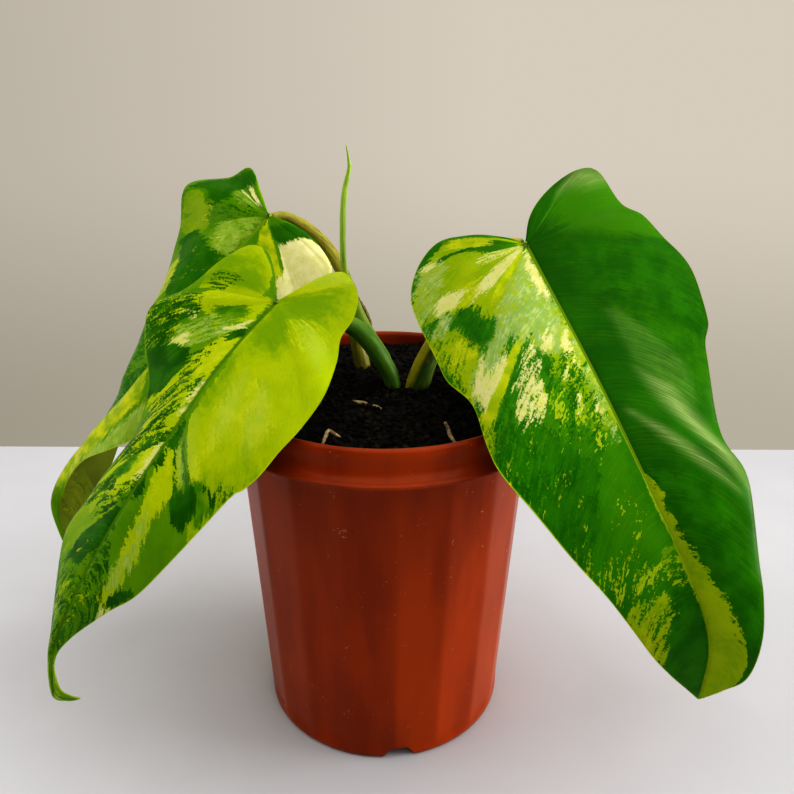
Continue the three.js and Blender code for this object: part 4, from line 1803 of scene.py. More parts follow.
@dataclass
class Studio:
    """The floor, the sky colour and the soft lights."""

    far_edge: float = 262.0
    near_edge: float = -2400.0
    half_width: float = 2400.0
    wall: Colour = (188, 181, 170)
    wall_low_shaded: Colour = (166, 160, 147)
    lamps: tuple[Lamp, ...] = (
        Lamp("overhead", (360, -260, 1500), (0, -60, 100), 2400, 2400, 25.0, (255, 254, 252)),
        Lamp("front", (200, -1500, 600), (0, 0, 130), 1400, 700, 0.8, (255, 254, 252)),
        Lamp("right_side", (2200, -100, 260), (0, 0, 120), 1000, 720, 52.0),
        Lamp("left_side", (-1000, -100, 300), (0, 0, 60), 900, 600, 3.4),
    )

    def build(self, groups: SharedGroups) -> None:
        """Builds the stage around the plant.

        Args:
            groups: The shared effects.
        """
        self._floor(groups)
        self._sky()
        for lamp in self.lamps:
            self._light(lamp)

    def _floor(self, groups: SharedGroups) -> None:
        """Lays the floor, which ends behind the pot.

        Args:
            groups: The shared effects.
        """
        x, near, far = self.half_width, self.near_edge, self.far_edge
        points = np.array([[-x, near, 0], [x, near, 0], [x, far, 0], [-x, far, 0]], float)
        floor = MeshDraft(points, [(0, 1, 2, 3)]).make("studio_floor")
        floor.data.materials.append(FloorFinish().make(groups))

    def _sky(self) -> None:
        """Sets a wall with painted shade for the camera, and air dark on the viewer's side for the light
        alone.
        """
        world = bpy.data.worlds.new("studio_air")
        bpy.context.scene.world = world
        world.use_nodes = True
        graph = Graph(world.node_tree)
        air = world.node_tree.nodes["Background"]
        way = graph.node("SeparateXYZ", {0: graph.node("TexCoord").outputs["Generated"]})
        # Painted shade: the wall that the camera sees darkens towards the bottom and towards the left.
        rise = graph.step(way.outputs["Z"], -0.4, -0.1)
        wall = graph.mix(rise, self.wall_low_shaded, self.wall)
        side_shade = graph.node("MapRange", {"Value": way.outputs["X"], "From Min": -0.5, "From Max": 0.1,
                                           "To Min": 0.76, "To Max": 1.0})
        seen = graph.node("Background", {"Color": wall, "Strength": side_shade.outputs[0]})
        behind = graph.step(way.outputs["Y"], -0.5, 0.7)
        graph.feed(air.inputs["Color"], self.wall)
        graph.feed(air.inputs["Strength"], graph.span(behind, 0.16, 0.9))
        chosen = graph.node("MixShader", {
            0: graph.node("LightPath").outputs["Is Camera Ray"],
            1: air.outputs[0],
            2: seen.outputs[0],
        })
        graph.feed(world.node_tree.nodes["World Output"].inputs[0], chosen.outputs[0])

    @staticmethod
    def _light(lamp: Lamp) -> None:
        """Hangs one lamp.

        Args:
            lamp: The lamp.
        """
        light = bpy.data.lights.new(lamp.name, "AREA")
        light.shape = "RECTANGLE"
        light.size = lamp.width * MM
        light.size_y = lamp.height * MM
        light.energy = lamp.watts
        light.color = linear(lamp.colour)[:3]
        holder = bpy.data.objects.new(lamp.name, light)
        holder.location = Vector(lamp.place) * MM
        holder.rotation_euler = (Vector(lamp.target) - Vector(lamp.place)).to_track_quat("-Z", "Y").to_euler()
        bpy.context.scene.collection.objects.link(holder)


@dataclass
class ViewCamera:
    """The camera, standing where the photograph was taken from."""

    place: Point = (5.0, -343.0, 303.0)
    pitch: float = 23.07
    roll: float = -0.28
    focal_pixels: float = 829.0
    frame_pixels: float = 794.0
    sensor: float = 36.0

    def build(self) -> None:
        """Makes the camera the scene's own."""
        data = bpy.data.cameras.new("view_camera")
        data.sensor_width = self.sensor
        data.sensor_fit = "HORIZONTAL"
        data.lens = self.focal_pixels / self.frame_pixels * self.sensor
        data.clip_start = 0.01
        camera = bpy.data.objects.new("view_camera", data)
        camera.location = Vector(self.place) * MM
        camera.rotation_euler = (math.radians(90 - self.pitch), math.radians(self.roll), 0)
        bpy.context.scene.collection.objects.link(camera)
        bpy.context.scene.camera = camera


RIGHT_FINISH = BladeFinish(
    "marbled_blade_right", ground=(38, 108, 1), ground_light=(50, 120, 2), shade=(30, 93, 1),
    shade_light=(42, 108, 2), lime=(128, 158, 2), lime_light=(152, 172, 8), soft=(66, 128, 4),
    green=(52, 108, 3), yellow=(184, 192, 26), silver=(180, 196, 126), cream=(206, 204, 140),
    deep=(30, 96, 1), deep_light=(44, 112, 3), rib=(150, 174, 36), fleck=(160, 180, 30),
)
FRONT_FINISH = BladeFinish(
    "marbled_blade_front", ground=(84, 132, 1), ground_light=(98, 144, 2), shade=(44, 102, 1),
    shade_light=(56, 114, 2), lime=(156, 178, 0), lime_light=(170, 188, 2), soft=(110, 150, 0),
    green=(60, 122, 2), yellow=(186, 198, 28), silver=(164, 188, 96), cream=(208, 210, 136), deep=(26, 86, 1),
    deep_light=(46, 108, 3), rib=(62, 104, 4), fleck=(164, 182, 16),
)
BACK_FINISH = BladeFinish(
    "marbled_blade_back", ground=(80, 132, 2), ground_light=(98, 146, 3), shade=(94, 114, 2),
    shade_light=(120, 140, 6), lime=(114, 152, 2), lime_light=(138, 166, 8), soft=(98, 144, 3),
    green=(60, 120, 3), yellow=(196, 202, 14), silver=(182, 204, 96), cream=(246, 238, 180),
    deep=(38, 104, 1), deep_light=(52, 114, 3), rib=(138, 160, 44), fleck=(170, 184, 44),
)

RIGHT_SHAPE = BladeShape(
    rib=((59, 0, 226), (82, -37, 186), (102, -63, 148), (119, -74, 115), (131, -76, 83), (133, -72, 50)),
    left=((51, 0, 229), (36, 0, 230), (23, -3, 228), (15, -10, 221), (11, -20, 211), (13, -28, 203),
          (21, -42, 190), (25, -49, 184), (34, -57, 178), (39, -67, 166), (44, -72, 157), (57, -75, 142),
          (72, -78, 124), (88, -80, 106), (112, -77, 73)),
    right=((62, 8, 238), (71, 18, 247), (83, 27, 253), (93, 30, 252), (102, 20, 240), (111, 15, 236),
           (120, 10, 227), (130, 2, 216), (135, -12, 198), (133, -20, 187), (136, -42, 160), (143, -55, 148),
           (145, -68, 129), (148, -80, 103), (148, -84, 87), (146, -82, 70), (140, -77, 59)),
)
RIGHT_PATCHES = (
    # Partly painted shade: the whole right half, which turns away from the light, is laid darker over its own
    # dark green.
    Patch(Tone.SHADE, (
        (1, 0), (5, 200), (20, 200), (40, 200), (60, 200), (80, 200), (95, 300), (100, 0)), 20, 6),
    Patch(Tone.LIME, (
        (1, -5), (6, -105), (28, -105), (29, -88), (31, -74), (33, -62), (36, -61), (38, -57), (41, -45),
        (43, -20), (38, -5)), 20, 1.6),
    Patch(Tone.LIME, ((30, -105), (31, -90), (33, -78), (37, -76), (40, -76), (41, -90), (43, -105))),
    Patch(Tone.LIME, (
        (46, -10), (50, -1), (63, 0), (65, -5), (62, -25), (56, -35), (51, -36), (50, -22)), 0.6),
    Patch(Tone.SOFT, ((62, -4), (70, -3), (80, -8), (79, -30), (74, -52), (70, -45), (64, -30)), 6),
    Patch(Tone.SOFT, ((45, -97), (49, -67), (53, -29), (64, -10), (63, -40), (56, -66), (48, -92)), 4),
    Patch(Tone.SOFT, ((13, 30), (14, 70), (19, 105), (32, 105), (31, 60), (26, 35)), 5),
    Patch(Tone.SOFT, ((46, 40), (48, 100), (54, 100), (56, 60)), -1),
    # Painted sheen: a glint on the top lobe and a soft sheen on the right half.
    Patch(Tone.SHEEN, ((48, 40), (52, 70), (56, 74), (54, 46)), -1.5),
    Patch(Tone.SHEEN, ((13, 74), (15, 104), (20, 104), (19, 84)), 2),
    Patch(Tone.SOFT, ((66, -50), (68, -20), (73, -14), (76, -40), (72, -70)), 5),
    Patch(Tone.SILVER, (
        (37, -3), (38, -30), (39, -55), (41, -60), (43, -52), (45, -45), (48, -36), (52, -22), (52, -5),
        (44, -2)), 20, 1.2),
    Patch(Tone.SILVER, ((40, -52), (42, -50), (43, -62), (43, -80), (42, -97), (40, -90)), 20, 1.2),
    Patch(Tone.SILVER, ((53, -3), (64, -2), (66, -7), (62, -12), (56, -12)), 0.2),
    Patch(Tone.SILVER, ((18, -80), (21, -98), (28, -98), (27, -84), (23, -74)), 0.4),
    Patch(Tone.SILVER, ((29, -80), (31, -78), (32, -90), (30, -96)), 1),
    # Painted sheen: the silvery band where light glances off the lower right half.
    Patch(Tone.SHEEN, ((63, 16), (64, 40), (66, 70), (68, 86), (67, 60), (65, 32)), 3, 1.6),
    Patch(Tone.SHEEN, ((56, 40), (60, 52), (64, 75), (67, 98), (63, 98), (60, 84), (56, 62)), 5, 1.2),
    Patch(Tone.YELLOW, ((34, -12), (35, -35), (37, -50), (38, -50), (38, -25), (36, -8)), 20, 1.2),
    Patch(Tone.YELLOW, ((28, -46), (27, -60), (28, -78), (31, -70), (32, -46)), 0.6),
    Patch(Tone.YELLOW, (
        (45, -24), (45.5, -60), (47, -97), (44, -99), (43.5, -82), (43.5, -68), (44, -40)), 20, 2),
    Patch(Tone.YELLOW, ((35, -84), (37, -75), (39, -77), (38, -90), (36, -92)), 0.3),
    Patch(Tone.YELLOW, ((11, -58), (13, -88), (16, -84), (16, -42), (14, -38)), 1.6, 1.4),
    Patch(Tone.YELLOW, ((45, -93), (50, -90), (51, -99), (47, -100)), 0.2),
    Patch(Tone.YELLOW, ((51, -46), (53, -50), (53, -58), (52, -57)), 3, 2),
    Patch(Tone.YELLOW, ((82, -91), (84, -88), (88, -96), (86, -99)), 1, 1.5),
    Patch(Tone.LIME, ((79, -88), (80, -60), (82, -38), (84, -52), (88, -78), (90, -98), (84, -101)), 0.3),
    Patch(Tone.LIME, ((79, -97), (80, -88), (84, -90), (89, -94), (88, -105), (82, -105)), 3, 1.3),
    Patch(Tone.LIME, ((83, -40), (84, -28), (85, -42), (85, -54)), 2, 2),
    Patch(Tone.LIME, ((88, -60), (91, -62), (91, -74), (89, -70)), 3, 2.5),
    Patch(Tone.LIME, ((72, -80), (74, -50), (77, -50), (78, -78), (75, -92)), -0.3),
    Patch(Tone.LIME, ((78, -18), (80, -5), (83, -6), (82, -24), (79, -28)), -0.3),
    Patch(Tone.LIME, ((65, -96), (67, -87), (71, -92), (73, -104), (66, -105)), -0.3),
    Patch(Tone.LIME, ((53, -93), (58, -90), (59, -105), (54, -105)), -0.4),
    Patch(Tone.LIME, ((54, -64), (60, -42), (66, -36), (67, -58), (61, -78), (56, -76)), -1),
    Patch(Tone.LIME, (
        (71, -3), (71, 5), (72.5, 15), (74, 8), (76, 14), (78, 24), (79, 34), (80, 54), (81.5, 64),
        (82.5, 50), (84, 60), (87, 78), (90, 86), (93, 92), (96, 108), (100, 106), (100, -4), (92, -5),
        (80, -5)), 20, 5),
    Patch(Tone.CREAM, ((27, -3), (28, -25), (30, -48), (32, -58), (34, -45), (35, -20), (36, -6)), 0.9),
    Patch(Tone.CREAM, ((21, -8), (21, -35), (23, -46), (25, -30), (26, -6)), 0),
    Patch(Tone.CREAM, ((26, -72), (27, -85), (29, -84), (30, -70), (29, -60), (28, -64)), 3, 1.2),
    Patch(Tone.CREAM, ((18, -84), (19, -97), (20, -92), (19.5, -84)), 2, 1.4),
    Patch(Tone.CREAM, ((37, -3), (39, -9), (42, -14), (46, -8), (46, -2)), 2, 1.2),
    Patch(Tone.CREAM, (
        (40, -76), (41, -96), (44, -95), (44.5, -80), (43.5, -62), (42.5, -62), (42.5, -78),
        (41.5, -82)), 1.4, 1.2),
    Patch(Tone.CREAM, ((48, -52), (49, -72), (52, -72), (53.5, -60), (53, -49), (51, -46)), 0.5, 1.6),
    Patch(Tone.CREAM, ((46, -40), (47, -64), (49, -60), (49.5, -40)), 0),
    Patch(Tone.CREAM, ((51, -4), (51, -15), (53, -17), (54, -8)), 1.2, 1.4),
    Patch(Tone.CREAM, ((48, -20), (48.5, -34), (50, -32), (50, -22)), 1.2, 1.4),
    Patch(Tone.CREAM, ((53, -18), (54, -28), (55, -22)), 1, 1.6),
    Patch(Tone.CREAM, ((54, -9), (55, -18), (56, -12)), 1, 1.6),
    Patch(Tone.CREAM, ((57, -24), (58, -32), (59, -27)), 1, 1.6),
    Patch(Tone.CREAM, ((60, -10), (61, -18), (62, -12)), 1, 1.6),
    Patch(Tone.GREEN, ((13, -8), (12, -30), (13, -58), (17, -58), (21, -30), (21, -8)), 3, 1.4),
    Patch(Tone.GREEN, ((2, -60), (4, -105), (12, -105), (14, -92), (12, -70), (9, -40)), 1.5, 1.6),
    Patch(Tone.DEEP, ((16, -56), (18, -84), (19, -82), (17, -52)), 1.5, 2.5),
    Patch(Tone.GREEN, ((27, -104), (29, -86), (33, -66), (40, -60), (42, -84), (38, -104)), -0.6),
    Patch(Tone.DEEP, ((31, -72), (33, -60), (36, -56), (39, -54), (40, -64), (37, -74)), -0.2, 1.3),
    Patch(Tone.DEEP, ((36, -60), (38, -58), (38.5, -66), (36, -70)), 0.6, 1.3),
    Patch(Tone.GREEN, ((41, -18), (42, -46), (45, -50), (48, -34), (48, -14)), -0.4),
    Patch(Tone.DEEP, ((46, -36), (47, -60), (48, -84), (47.5, -90), (46.5, -72), (45.5, -48)), 0.3, 1.2),
    Patch(Tone.DEEP, ((50, -34), (54, -12), (60, -10), (64, -28), (60, -42), (54, -50)), -0.2),
    Patch(Tone.DEEP, (
        (47, -76), (50, -76), (54, -60), (60, -52), (64, -38), (67, -66), (69, -93), (66, -106), (50, -100),
        (48, -92)), 0.3, 0.7),
    Patch(Tone.DEEP, ((82, -34), (84, -6), (100, 4), (97, -106), (91, -98), (87, -68), (85, -50)), 20, 1.2),
    Patch(Tone.DEEP, ((70, 10), (68, 60), (74, 88), (86, 101), (88, 90), (83, 42), (78, 14)), 4, 0.7),
    Patch(Tone.DEEP, ((34, 20), (33, 90), (46, 98), (44, 32)), 2, 0.4),
    Patch(Tone.FLECKED, ((52, -60), (53, -10), (62, -6), (66, -25), (63, -50), (57, -62)), 6),
    Patch(Tone.FLECKED, ((53, -72), (66, -20), (74, -10), (72, -60), (66, -96), (52, -97)), 0),
    Patch(Tone.FLECKED, ((71, -95), (72, -30), (80, -5), (86, -30), (85, -98)), 2),
)
FRONT_SHAPE = BladeShape(
    rib=((-45, -8, 203), (-65, -35, 185), (-83, -58, 162), (-100, -71, 138), (-119, -75, 106),
         (-134, -71, 75), (-139, -68, 56), (-138, -68, 47), (-128, -70, 47)),
    left=((-48, 8, 213), (-52, 18, 219), (-61, 23, 220), (-73, 18, 214), (-87, 12, 204), (-103, 9, 196),
          (-104, -1, 185), (-99, -19, 171), (-101, -35, 157), (-110, -47, 145), (-120, -52, 132),
          (-128, -57, 120), (-133, -65, 96), (-137, -68, 75), (-141, -67, 57), (-141, -67, 45),
          (-135, -68, 44)),
    right=((-33, -4, 209), (-18, 0, 214), (-11, -8, 208), (-12, -18, 200), (-17, -27, 194), (-18, -38, 188),
           (-22, -53, 180), (-30, -63, 171), (-38, -69, 164), (-45, -73, 156), (-51, -75, 151),
           (-57, -76, 147), (-80, -82, 123), (-94, -81, 108), (-107, -78, 98), (-125, -73, 82),
           (-134, -70, 71), (-137, -69, 60), (-136, -69, 51), (-132, -70, 49)),
)
FRONT_PATCHES = (
    Patch(Tone.LIME, (
        (4, -3), (9, 42), (9, 130), (25, 120), (40, 120), (54, 120), (60, 106), (59, 80), (58, 56), (58, 22),
        (57, 10), (50, 8), (40, -2)), 20, 2.5),
    Patch(Tone.LIME, ((12, -106), (9, -50), (14, -20), (24, -14), (25, -62), (25, -84), (20, -106)), 20, 2),
    Patch(Tone.LIME, (
        (17, -4), (24, -18), (24, -48), (26, -70), (31, -64), (37, -46), (40, -22), (42, -4)), 20, 1.6),
    Patch(Tone.LIME, ((30, -104), (27, -80), (30, -66), (38, -74), (39, -104)), 0),
    Patch(Tone.LIME, (
        (43, -20), (46, -2), (62, -2), (62, -18), (57, -72), (52, -78), (46, -100), (47, -60),
        (45, -45)), 20, 1.3),
    Patch(Tone.LIME, ((57, -80), (62, -6), (67, -3), (70, -22), (72, -50), (72, -80), (68, -100)), 2),
    Patch(Tone.SOFT, ((65, -104), (67, -60), (69, -20), (71, -32), (73, -60), (72, -104)), 20, 1.2),
    Patch(Tone.LIME, ((62, 4), (60, 16), (59, 34), (60, 52), (64, 50), (67, 48), (67, 28), (64, 10)), 2, 1.4),
    Patch(Tone.LIME, ((67, 30), (65, 46), (68, 66), (73, 73), (78, 100), (78, 74), (74, 52)), 1.5),
    Patch(Tone.SOFT, ((88, -100), (89, 100), (100, 100), (100, -100)), 1),
    Patch(Tone.SOFT, ((8, 4), (14, 30), (15, 84), (20, 78), (28, 44), (40, 42), (46, 6), (36, 0))),
    Patch(Tone.SOFT, ((56, 72), (49, 88), (46, 100), (54, 108), (66, 106), (61, 86)), 0),
    Patch(Tone.SOFT, ((47, 4), (50, 26), (54, 20), (56, 6)), 3),
    Patch(Tone.SOFT, ((17, -106), (14, -80), (12, -50), (22, -60), (25, -90), (22, -106)), 3),
    Patch(Tone.SOFT, ((75, -100), (75, -20), (82, -10), (88, -40), (84, -100)), 0),
    Patch(Tone.SOFT, ((18, -76), (15, -62), (14, -36), (17, -14), (21, -20), (23, -46), (23, -68)), 20, 1.4),
    Patch(Tone.GREEN, ((33, -42), (35, -20), (40, -14), (40, -34), (36, -44)), 1.5),
    Patch(Tone.GREEN, ((58, 56), (55, 78), (54, 98), (58, 96), (59, 70)), 20, 1.5),
    Patch(Tone.GREEN, ((61, -26), (62, -58), (66, -60), (65, -24)), 2),
    Patch(Tone.YELLOW, ((5, 14), (9, 60), (10, 104), (13, 98), (14, 60), (13, 18)), 20, 1.6),
    # These two pale yellow patches are partly painted sheen, where light glances off the right half, and
    # partly paler skin.
    Patch(Tone.YELLOW, ((25, 50), (24, 76), (29, 78), (34, 58), (36, 36), (31, 34)), 0),
    Patch(Tone.YELLOW, ((44, 40), (42, 82), (46, 86), (50, 60), (54, 56), (57, 60), (58, 42), (52, 34)), 1),
    Patch(Tone.YELLOW, ((56, 42), (56, 66), (58, 58), (58, 40)), 20, 1.3),
    Patch(Tone.YELLOW, ((43, -10), (44, -44), (49, -40), (52, -8), (48, -2)), 1.2),
    Patch(Tone.YELLOW, ((26, -20), (26, -66), (30, -62), (31, -24)), 0),
    Patch(Tone.YELLOW, ((62, 12), (60, 34), (61, 50), (65, 48), (66, 34), (64, 18)), 0.6),
    Patch(Tone.YELLOW, ((61, -4), (61, -24), (65, -22), (67, -4)), 1.2),
    Patch(Tone.SILVER, ((66, 38), (66, 52), (70, 64), (75, 72), (75, 58), (70, 48)), 20, 1.2),
    Patch(Tone.SILVER, ((37, -72), (37, -46), (40, -26), (43, -16), (42, -60), (40, -72)), 0.6),
    Patch(Tone.SILVER, ((52, -14), (53, -1), (58, 0), (58, -10)), 2, 1.2),
    Patch(Tone.SILVER, ((59, 22), (58.6, 50), (60, 56), (60.4, 22)), 2, 1.2),
    # Partly painted reflection: these two silver patches lay a pale streak near the tip over the blade's own
    # paler tone.
    Patch(Tone.SILVER, ((78, -98), (80, -60), (88, -40), (86, -98)), 3),
    Patch(Tone.SILVER, ((90, -98), (91, 20), (97, 20), (97, -98)), 0),
    Patch(Tone.CREAM, ((39, -76), (39, -62), (41, -58), (41.5, -70)), 3, 1.3),
    Patch(Tone.CREAM, ((41, -8), (41, -30), (42, -26), (43, -10)), 1.5, 1.4),
    Patch(Tone.CREAM, ((53, -1), (54, -12), (57, -10), (58, -1)), 0.2),
    Patch(Tone.CREAM, ((62, -1), (62, -10), (66, -9), (67, -1)), 1.5, 1.6),
    Patch(Tone.CREAM, ((77, 88), (76, 99), (79, 100), (79, 90)), 3, 1.6),
    Patch(Tone.CREAM, ((33, -56), (34, -66), (36, -60)), 0),
    Patch(Tone.DEEP, ((20, -52), (20, -80), (24, -84), (25, -58)), 0, 1.2),
    Patch(Tone.DEEP, (
        (29, -60), (27, -82), (31, -104), (40, -104), (40, -78), (36, -72), (35, -56)), 0.1, 1.2),
    Patch(Tone.DEEP, ((34, -100), (35, -80), (38, -76), (40, -104)), 0.4),
    Patch(Tone.DEEP, ((43, -3), (43, -22), (45, -18), (45, -2)), 1.2, 1.4),
    Patch(Tone.DEEP, (
        (39, -104), (39, -88), (41, -68), (43, -56), (46, -54), (47, -62), (48, -78), (47, -104)), 20, 2),
    Patch(Tone.DEEP, ((43, -34), (45, -56), (49, -52), (50, -40), (46, -30)), -0.2),
    Patch(Tone.DEEP, ((49, -80), (49, -46), (52, -10), (57, -12), (57, -50), (54, -84)), -0.1, 1.2),
    Patch(Tone.DEEP, ((55, -30), (56, -84), (60, -80), (60, -16)), 0.2, 1.2),
    Patch(Tone.DEEP, ((60, -2), (60, -60), (61, -60), (62, -3)), 0.6, 1.6),
    Patch(Tone.DEEP, ((63, -42), (62, -100), (66, -100), (67, -34)), 0.1, 1.2),
    Patch(Tone.DEEP, ((66, -4), (67, -44), (70, -42), (69, -3)), -0.1),
    Patch(Tone.DEEP, ((70, -6), (71, -56), (74, -66), (76, -36), (75, 4), (72, 4)), 20, 1.6),
    Patch(Tone.DEEP, (
        (72, 2), (73, -60), (73, -102), (80, -102), (90, -40), (89, 102), (83, 104), (79, 88),
        (75, 50)), -0.2),
    Patch(Tone.DEEP, ((58, 12), (58, 6), (61, 3), (62, 8), (60, 20)), 1.5, 1.6),
    Patch(Tone.DEEP, ((62, 4), (62, 18), (64, 12), (65, 3)), 20, 2),
    Patch(Tone.DEEP, ((66, 4), (66, 16), (67, 16), (69, 2)), 20, 2),
    Patch(Tone.DEEP, ((58.4, 24), (58, 60), (59, 62), (59, 26)), 0.8, 1.4),
    Patch(Tone.DEEP, ((60, 20), (60.4, 54), (61, 54), (60.8, 20)), 0.3, 1.4),
    Patch(Tone.DEEP, (
        (62, 52), (60, 56), (58, 62), (57, 76), (57.6, 88), (59.6, 86), (60, 92), (62, 72)), 20, 2),
    Patch(Tone.DEEP, ((55.4, 74), (54.6, 82), (54, 94), (55.4, 97), (55, 86), (56, 76)), 20, 2.6),
    Patch(Tone.DEEP, ((54, 88), (52, 90), (51, 100), (54, 99)), 0.2, 1.4),
    Patch(Tone.DEEP, ((76, 77), (73, 79), (71, 90), (71, 99), (75, 97), (77, 84)), 20, 2.4),
    # Painted sheen: bright spots where light glances off the lobe and the lower right half.
    Patch(Tone.SHEEN, ((46, 34), (50, 52), (53, 50), (50, 34)), 1),
    Patch(Tone.SHEEN, ((43, 58), (44, 76), (48, 76), (47, 60)), 1),
    Patch(Tone.SHEEN, ((56, 20), (57, 50), (59, 50), (59, 24)), 1),
    Patch(Tone.SHEEN, ((27, 56), (28, 80), (32, 78), (32, 60)), 1),
    Patch(Tone.SHEEN, ((7, 60), (9, 96), (13, 92), (12, 62)), 1),
    Patch(Tone.FLECKED, ((49, -78), (53, -12), (58, 2), (61, -9), (56, -52)), 3),
    Patch(Tone.FLECKED, ((72, -104), (73, -34), (75, 17), (83, 78), (88, -18)), 2),
)
BACK_SHAPE = BladeShape(
    rib=((-55, 50, 228), (-76, 42, 206), (-97, 36, 180), (-120, 32, 152), (-144, 32, 126), (-163, 32, 104),
         (-172, 29, 86), (-169, 25, 70), (-160, 20, 51)),
    left=((-59, 58, 236), (-66, 72, 247), (-79, 82, 241), (-98, 88, 238), (-104, 86, 232), (-106, 82, 215),
          (-113, 76, 193), (-122, 72, 172), (-129, 67, 149), (-135, 61, 127), (-145, 55, 100), (-153, 49, 81),
          (-160, 42, 65), (-162, 32, 54)),
    right=((-41, 46, 223), (-30, 40, 215), (-24, 32, 203), (-34, 23, 183), (-57, 17, 177), (-80, 10, 166),
           (-95, 4, 149), (-106, 2, 139), (-116, 2, 134), (-128, 4, 128), (-147, 14, 116), (-161, 25, 98),
           (-168, 27, 81), (-165, 22, 65)),
    camber_left=(0.05, 0.05, 0.08, 0.15, 0.19, 0.08, 0.06),
)
BACK_PATCHES = (
    # Partly painted shade: the curled end, which hangs in shade, is laid dark olive over its own olive tone.
    Patch(Tone.SHADE, ((74, -30), (76, -106), (96, -106), (96, 40), (84, 20), (80, -14)), 20),
    Patch(Tone.LIME, ((26, -92), (26, -70), (29, -58), (31, -54), (31, -78), (30, -96)), 20, 1.4),
    Patch(Tone.LIME, ((31, -96), (31, -62), (35, -52), (37, -62), (36, -82), (33, -98)), 1.5),
    Patch(Tone.LIME, ((38, -56), (39, -26), (44, -16), (43, -46)), 0.6),
    Patch(Tone.LIME, ((84, -40), (85, -106), (95, -106), (95, 10), (88, -6)), 0.4),
    Patch(Tone.SOFT, ((36, -90), (38, -30), (50, -10), (54, -40), (50, -90)), 3),
    Patch(Tone.GREEN, ((32, 72), (36, 20), (46, 10), (60, 40), (58, 106), (36, 106)), 3),
    Patch(Tone.SILVER, ((34, -44), (34, -12), (40, -2), (46, -5), (45, -20), (39, -40)), 1.2),
    Patch(Tone.SILVER, ((17, -48), (20, -20), (27, -20), (25, -36), (21, -50)), 0.2),
    # Painted reflection: a pale silver band along the curled margin, where light glances off it.
    Patch(Tone.SILVER, ((57, 68), (56, 106), (78, 106), (72, 92), (66, 84), (60, 70)), 20, 1.4),
    Patch(Tone.YELLOW, ((41, -70), (44, -56), (50, -46), (51, -76), (45, -106), (41, -90)), 20, 2),
    Patch(Tone.YELLOW, ((27, -54), (28, -60), (30, -54)), 2, 2),
    Patch(Tone.YELLOW, ((31, -60), (32, -66), (33, -58)), 2, 2),
    Patch(Tone.YELLOW, (
        (38, 10), (36, 2), (30, 16), (28, 30), (28, 52), (31, 72), (34, 40), (38, 20)), 20, 1.4),
    Patch(Tone.YELLOW, (
        (62, 30), (61, 64), (66, 78), (71, 92), (78, 106), (86, 60), (88, 0), (82, -14), (74, 0),
        (66, 16)), 20, 1.4),
    Patch(Tone.YELLOW, ((86, -20), (88, -96), (91, -96), (90, -10)), 0),
    Patch(Tone.CREAM, ((12, -22), (12, -58), (14, -60), (15, -24)), 1, 1.6),
    Patch(Tone.CREAM, ((16, -20), (16, -60), (18, -52), (18, -22)), 0.8, 1.6),
    Patch(Tone.CREAM, (
        (26, 28), (18, 36), (13, 54), (10, 84), (11, 104), (22, 104), (26, 88), (30, 78), (30, 58),
        (27, 50)), 20, 2.4),
    Patch(Tone.DEEP, (
        (30, -104), (8, -106), (10, -66), (19, -58), (24, -44), (28, -52), (25, -72), (26, -96)), 20, 1.6),
    Patch(Tone.DEEP, (
        (36, -94), (35, -70), (39, -48), (43, -30), (46, -8), (50, -6), (54, -30), (50, -50),
        (41, -74)), 1.4, 1.2),
    Patch(Tone.DEEP, ((27, -64), (23, -36), (26, -10), (36, -6), (34, -46)), -0.3),
    Patch(Tone.DEEP, (
        (31, 8), (7, 46), (5, 106), (10, 106), (10, 84), (13, 52), (22, 31), (28, 22)), 20, 2.2),
    Patch(Tone.DEEP, ((56, -20), (60, -104), (72, -104), (72, -20)), 0),
    Patch(Tone.DEEP, ((64, 6), (68, 18), (78, -2), (78, -40), (68, -30)), 0.4),
    Patch(Tone.FLECKED, ((37, 12), (30, 21), (27, 52), (30, 63), (33, 38)), 4),
    Patch(Tone.FLECKED, ((40, -64), (43, -25), (50, -12), (49, -32)), 0),
)
BLADES = (
    Blade("leaf_right", "right_blade", RIGHT_SHAPE, RIGHT_PATCHES, RIGHT_FINISH),
    Blade("leaf_front_left", "front_left_blade", FRONT_SHAPE, FRONT_PATCHES, FRONT_FINISH),
    Blade("leaf_back_left", "back_left_blade", BACK_SHAPE, BACK_PATCHES, BACK_FINISH),
)

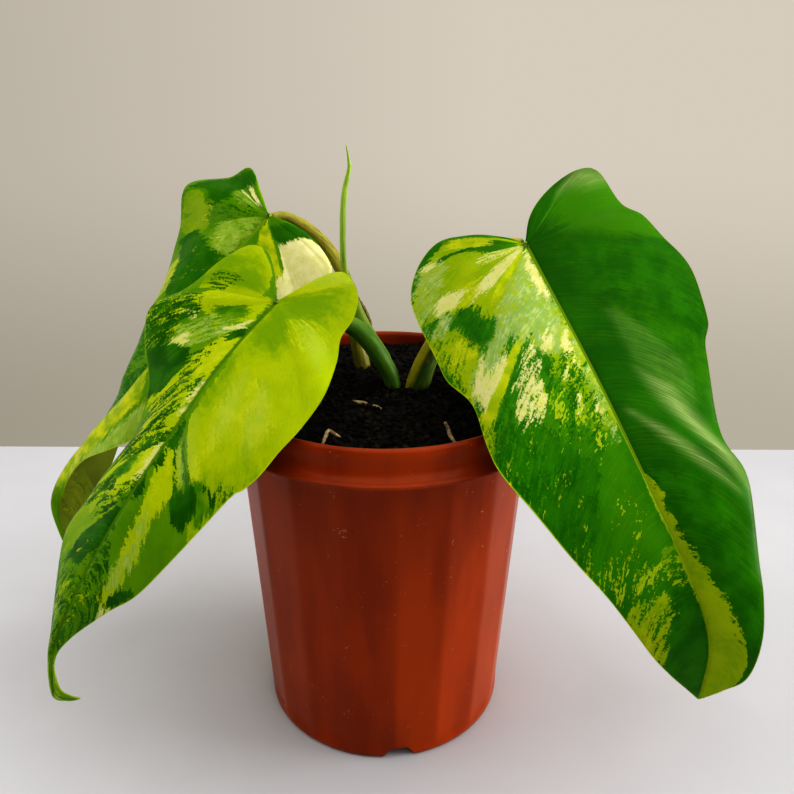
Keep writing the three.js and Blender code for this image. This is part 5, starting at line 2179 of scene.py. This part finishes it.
STALKS = (
    Stalk(
        "petiole_right", "right_petiole", "petiole",
        ((14, 11, 150), (15, 10, 157), (18, 10, 168), (24, 11, 181), (34, 13, 198), (46, 13, 214),
         (53, 9, 223), (59, 2, 226)),
        (6.2, 5.4, 4.6, 4, 3.6, 3.4, 3.9, 2.2),
        StalkFinish("right_petiole_skin", (50, 92, 6), (72, 108, 10), (132, 120, 20), (206, 194, 26),
                    side_share=0.9, side_edge=(0.4, 0.65)),
        Section.GROOVED, top_trim=2.0,
    ),
    Stalk(
        "petiole_front_left", "front_left_petiole", "petiole",
        ((4, 9, 150), (4, 8, 158), (2, 8, 166), (-2, 8, 173), (-7, 8, 181), (-14, 7, 188), (-25, 4, 193),
         (-37, -2, 198), (-44, -5, 201)),
        (3.5, 3.6, 4, 4.3, 4.3, 4, 3.6, 3.2, 2.2),
        StalkFinish("front_left_petiole_skin", (66, 122, 4), (96, 140, 10), (62, 110, 6), (150, 172, 30)),
        Section.GROOVED, top_trim=1.0,
    ),
    Stalk(
        "petiole_back_left", "back_left_petiole", "petiole",
        ((-10, 31, 150), (-11, 32, 160), (-14, 33, 175), (-17, 35, 189), (-19, 40, 200), (-24, 45, 209),
         (-31, 50, 217), (-40, 54, 223), (-49, 54, 227), (-55, 51, 227)),
        (4.2, 3.8, 3.5, 3.3, 3.2, 3.1, 3, 2.9, 2.9, 1.8),
        StalkFinish("back_left_petiole_skin", (120, 122, 12), (144, 142, 20), (110, 72, 12), (190, 180, 50)),
        Section.GROOVED, top_trim=1.0,
    ),
    Stalk(
        "shoot_sheath", "new_leaf_sheath", "sheath",
        ((3, 16, 150), (3, 16, 157), (0, 15, 169), (-7, 15, 181), (-11, 15, 189), (-14, 15, 197),
         (-16, 15, 205)),
        (3.6, 3.6, 3.6, 3.5, 3.4, 3, 2),
        StalkFinish("sheath_skin", (112, 144, 26), (134, 160, 36), (84, 124, 16), (176, 190, 70)),
        Section.ROLLED, open_top=5.0,
    ),
    Stalk(
        "new_leaf_spear", "rolled_new_leaf", "new_leaf",
        ((-13, 15, 194), (-16, 16, 203), (-18, 16, 214), (-18, 16, 232), (-17, 16, 245), (-15, 16, 254),
         (-15, 16, 258), (-16, 16, 264)),
        (1.3, 1.5, 1.5, 1.4, 1.4, 1.3, 0.9, 0.2),
        StalkFinish("rolled_leaf_skin", (134, 170, 24), (152, 184, 44), (104, 146, 20), (180, 202, 84)),
        Section.ROLLED, sides=24, step=1.0,
    ),
)


def main() -> None:
    """Builds the camera, the plant in its pot and the stage, and reports each piece."""
    logging.basicConfig(level=logging.INFO, format="%(name)s: %(message)s")
    ViewCamera().build()
    bpy.context.scene.view_settings.view_transform = "Standard"
    bpy.context.scene.view_settings.look = "High Contrast"
    groups = SharedGroups()
    pot = Pot()
    pot.build(groups)
    mix = PottingMix(pot)
    mix.build(groups)
    Roots(mix).build(groups)
    for stalk in STALKS:
        stalk.build(groups)
    DryFlake().build(groups)
    for blade in BLADES:
        blade.build(groups)
    Studio().build(groups)


if __name__ == "__main__":
    main()
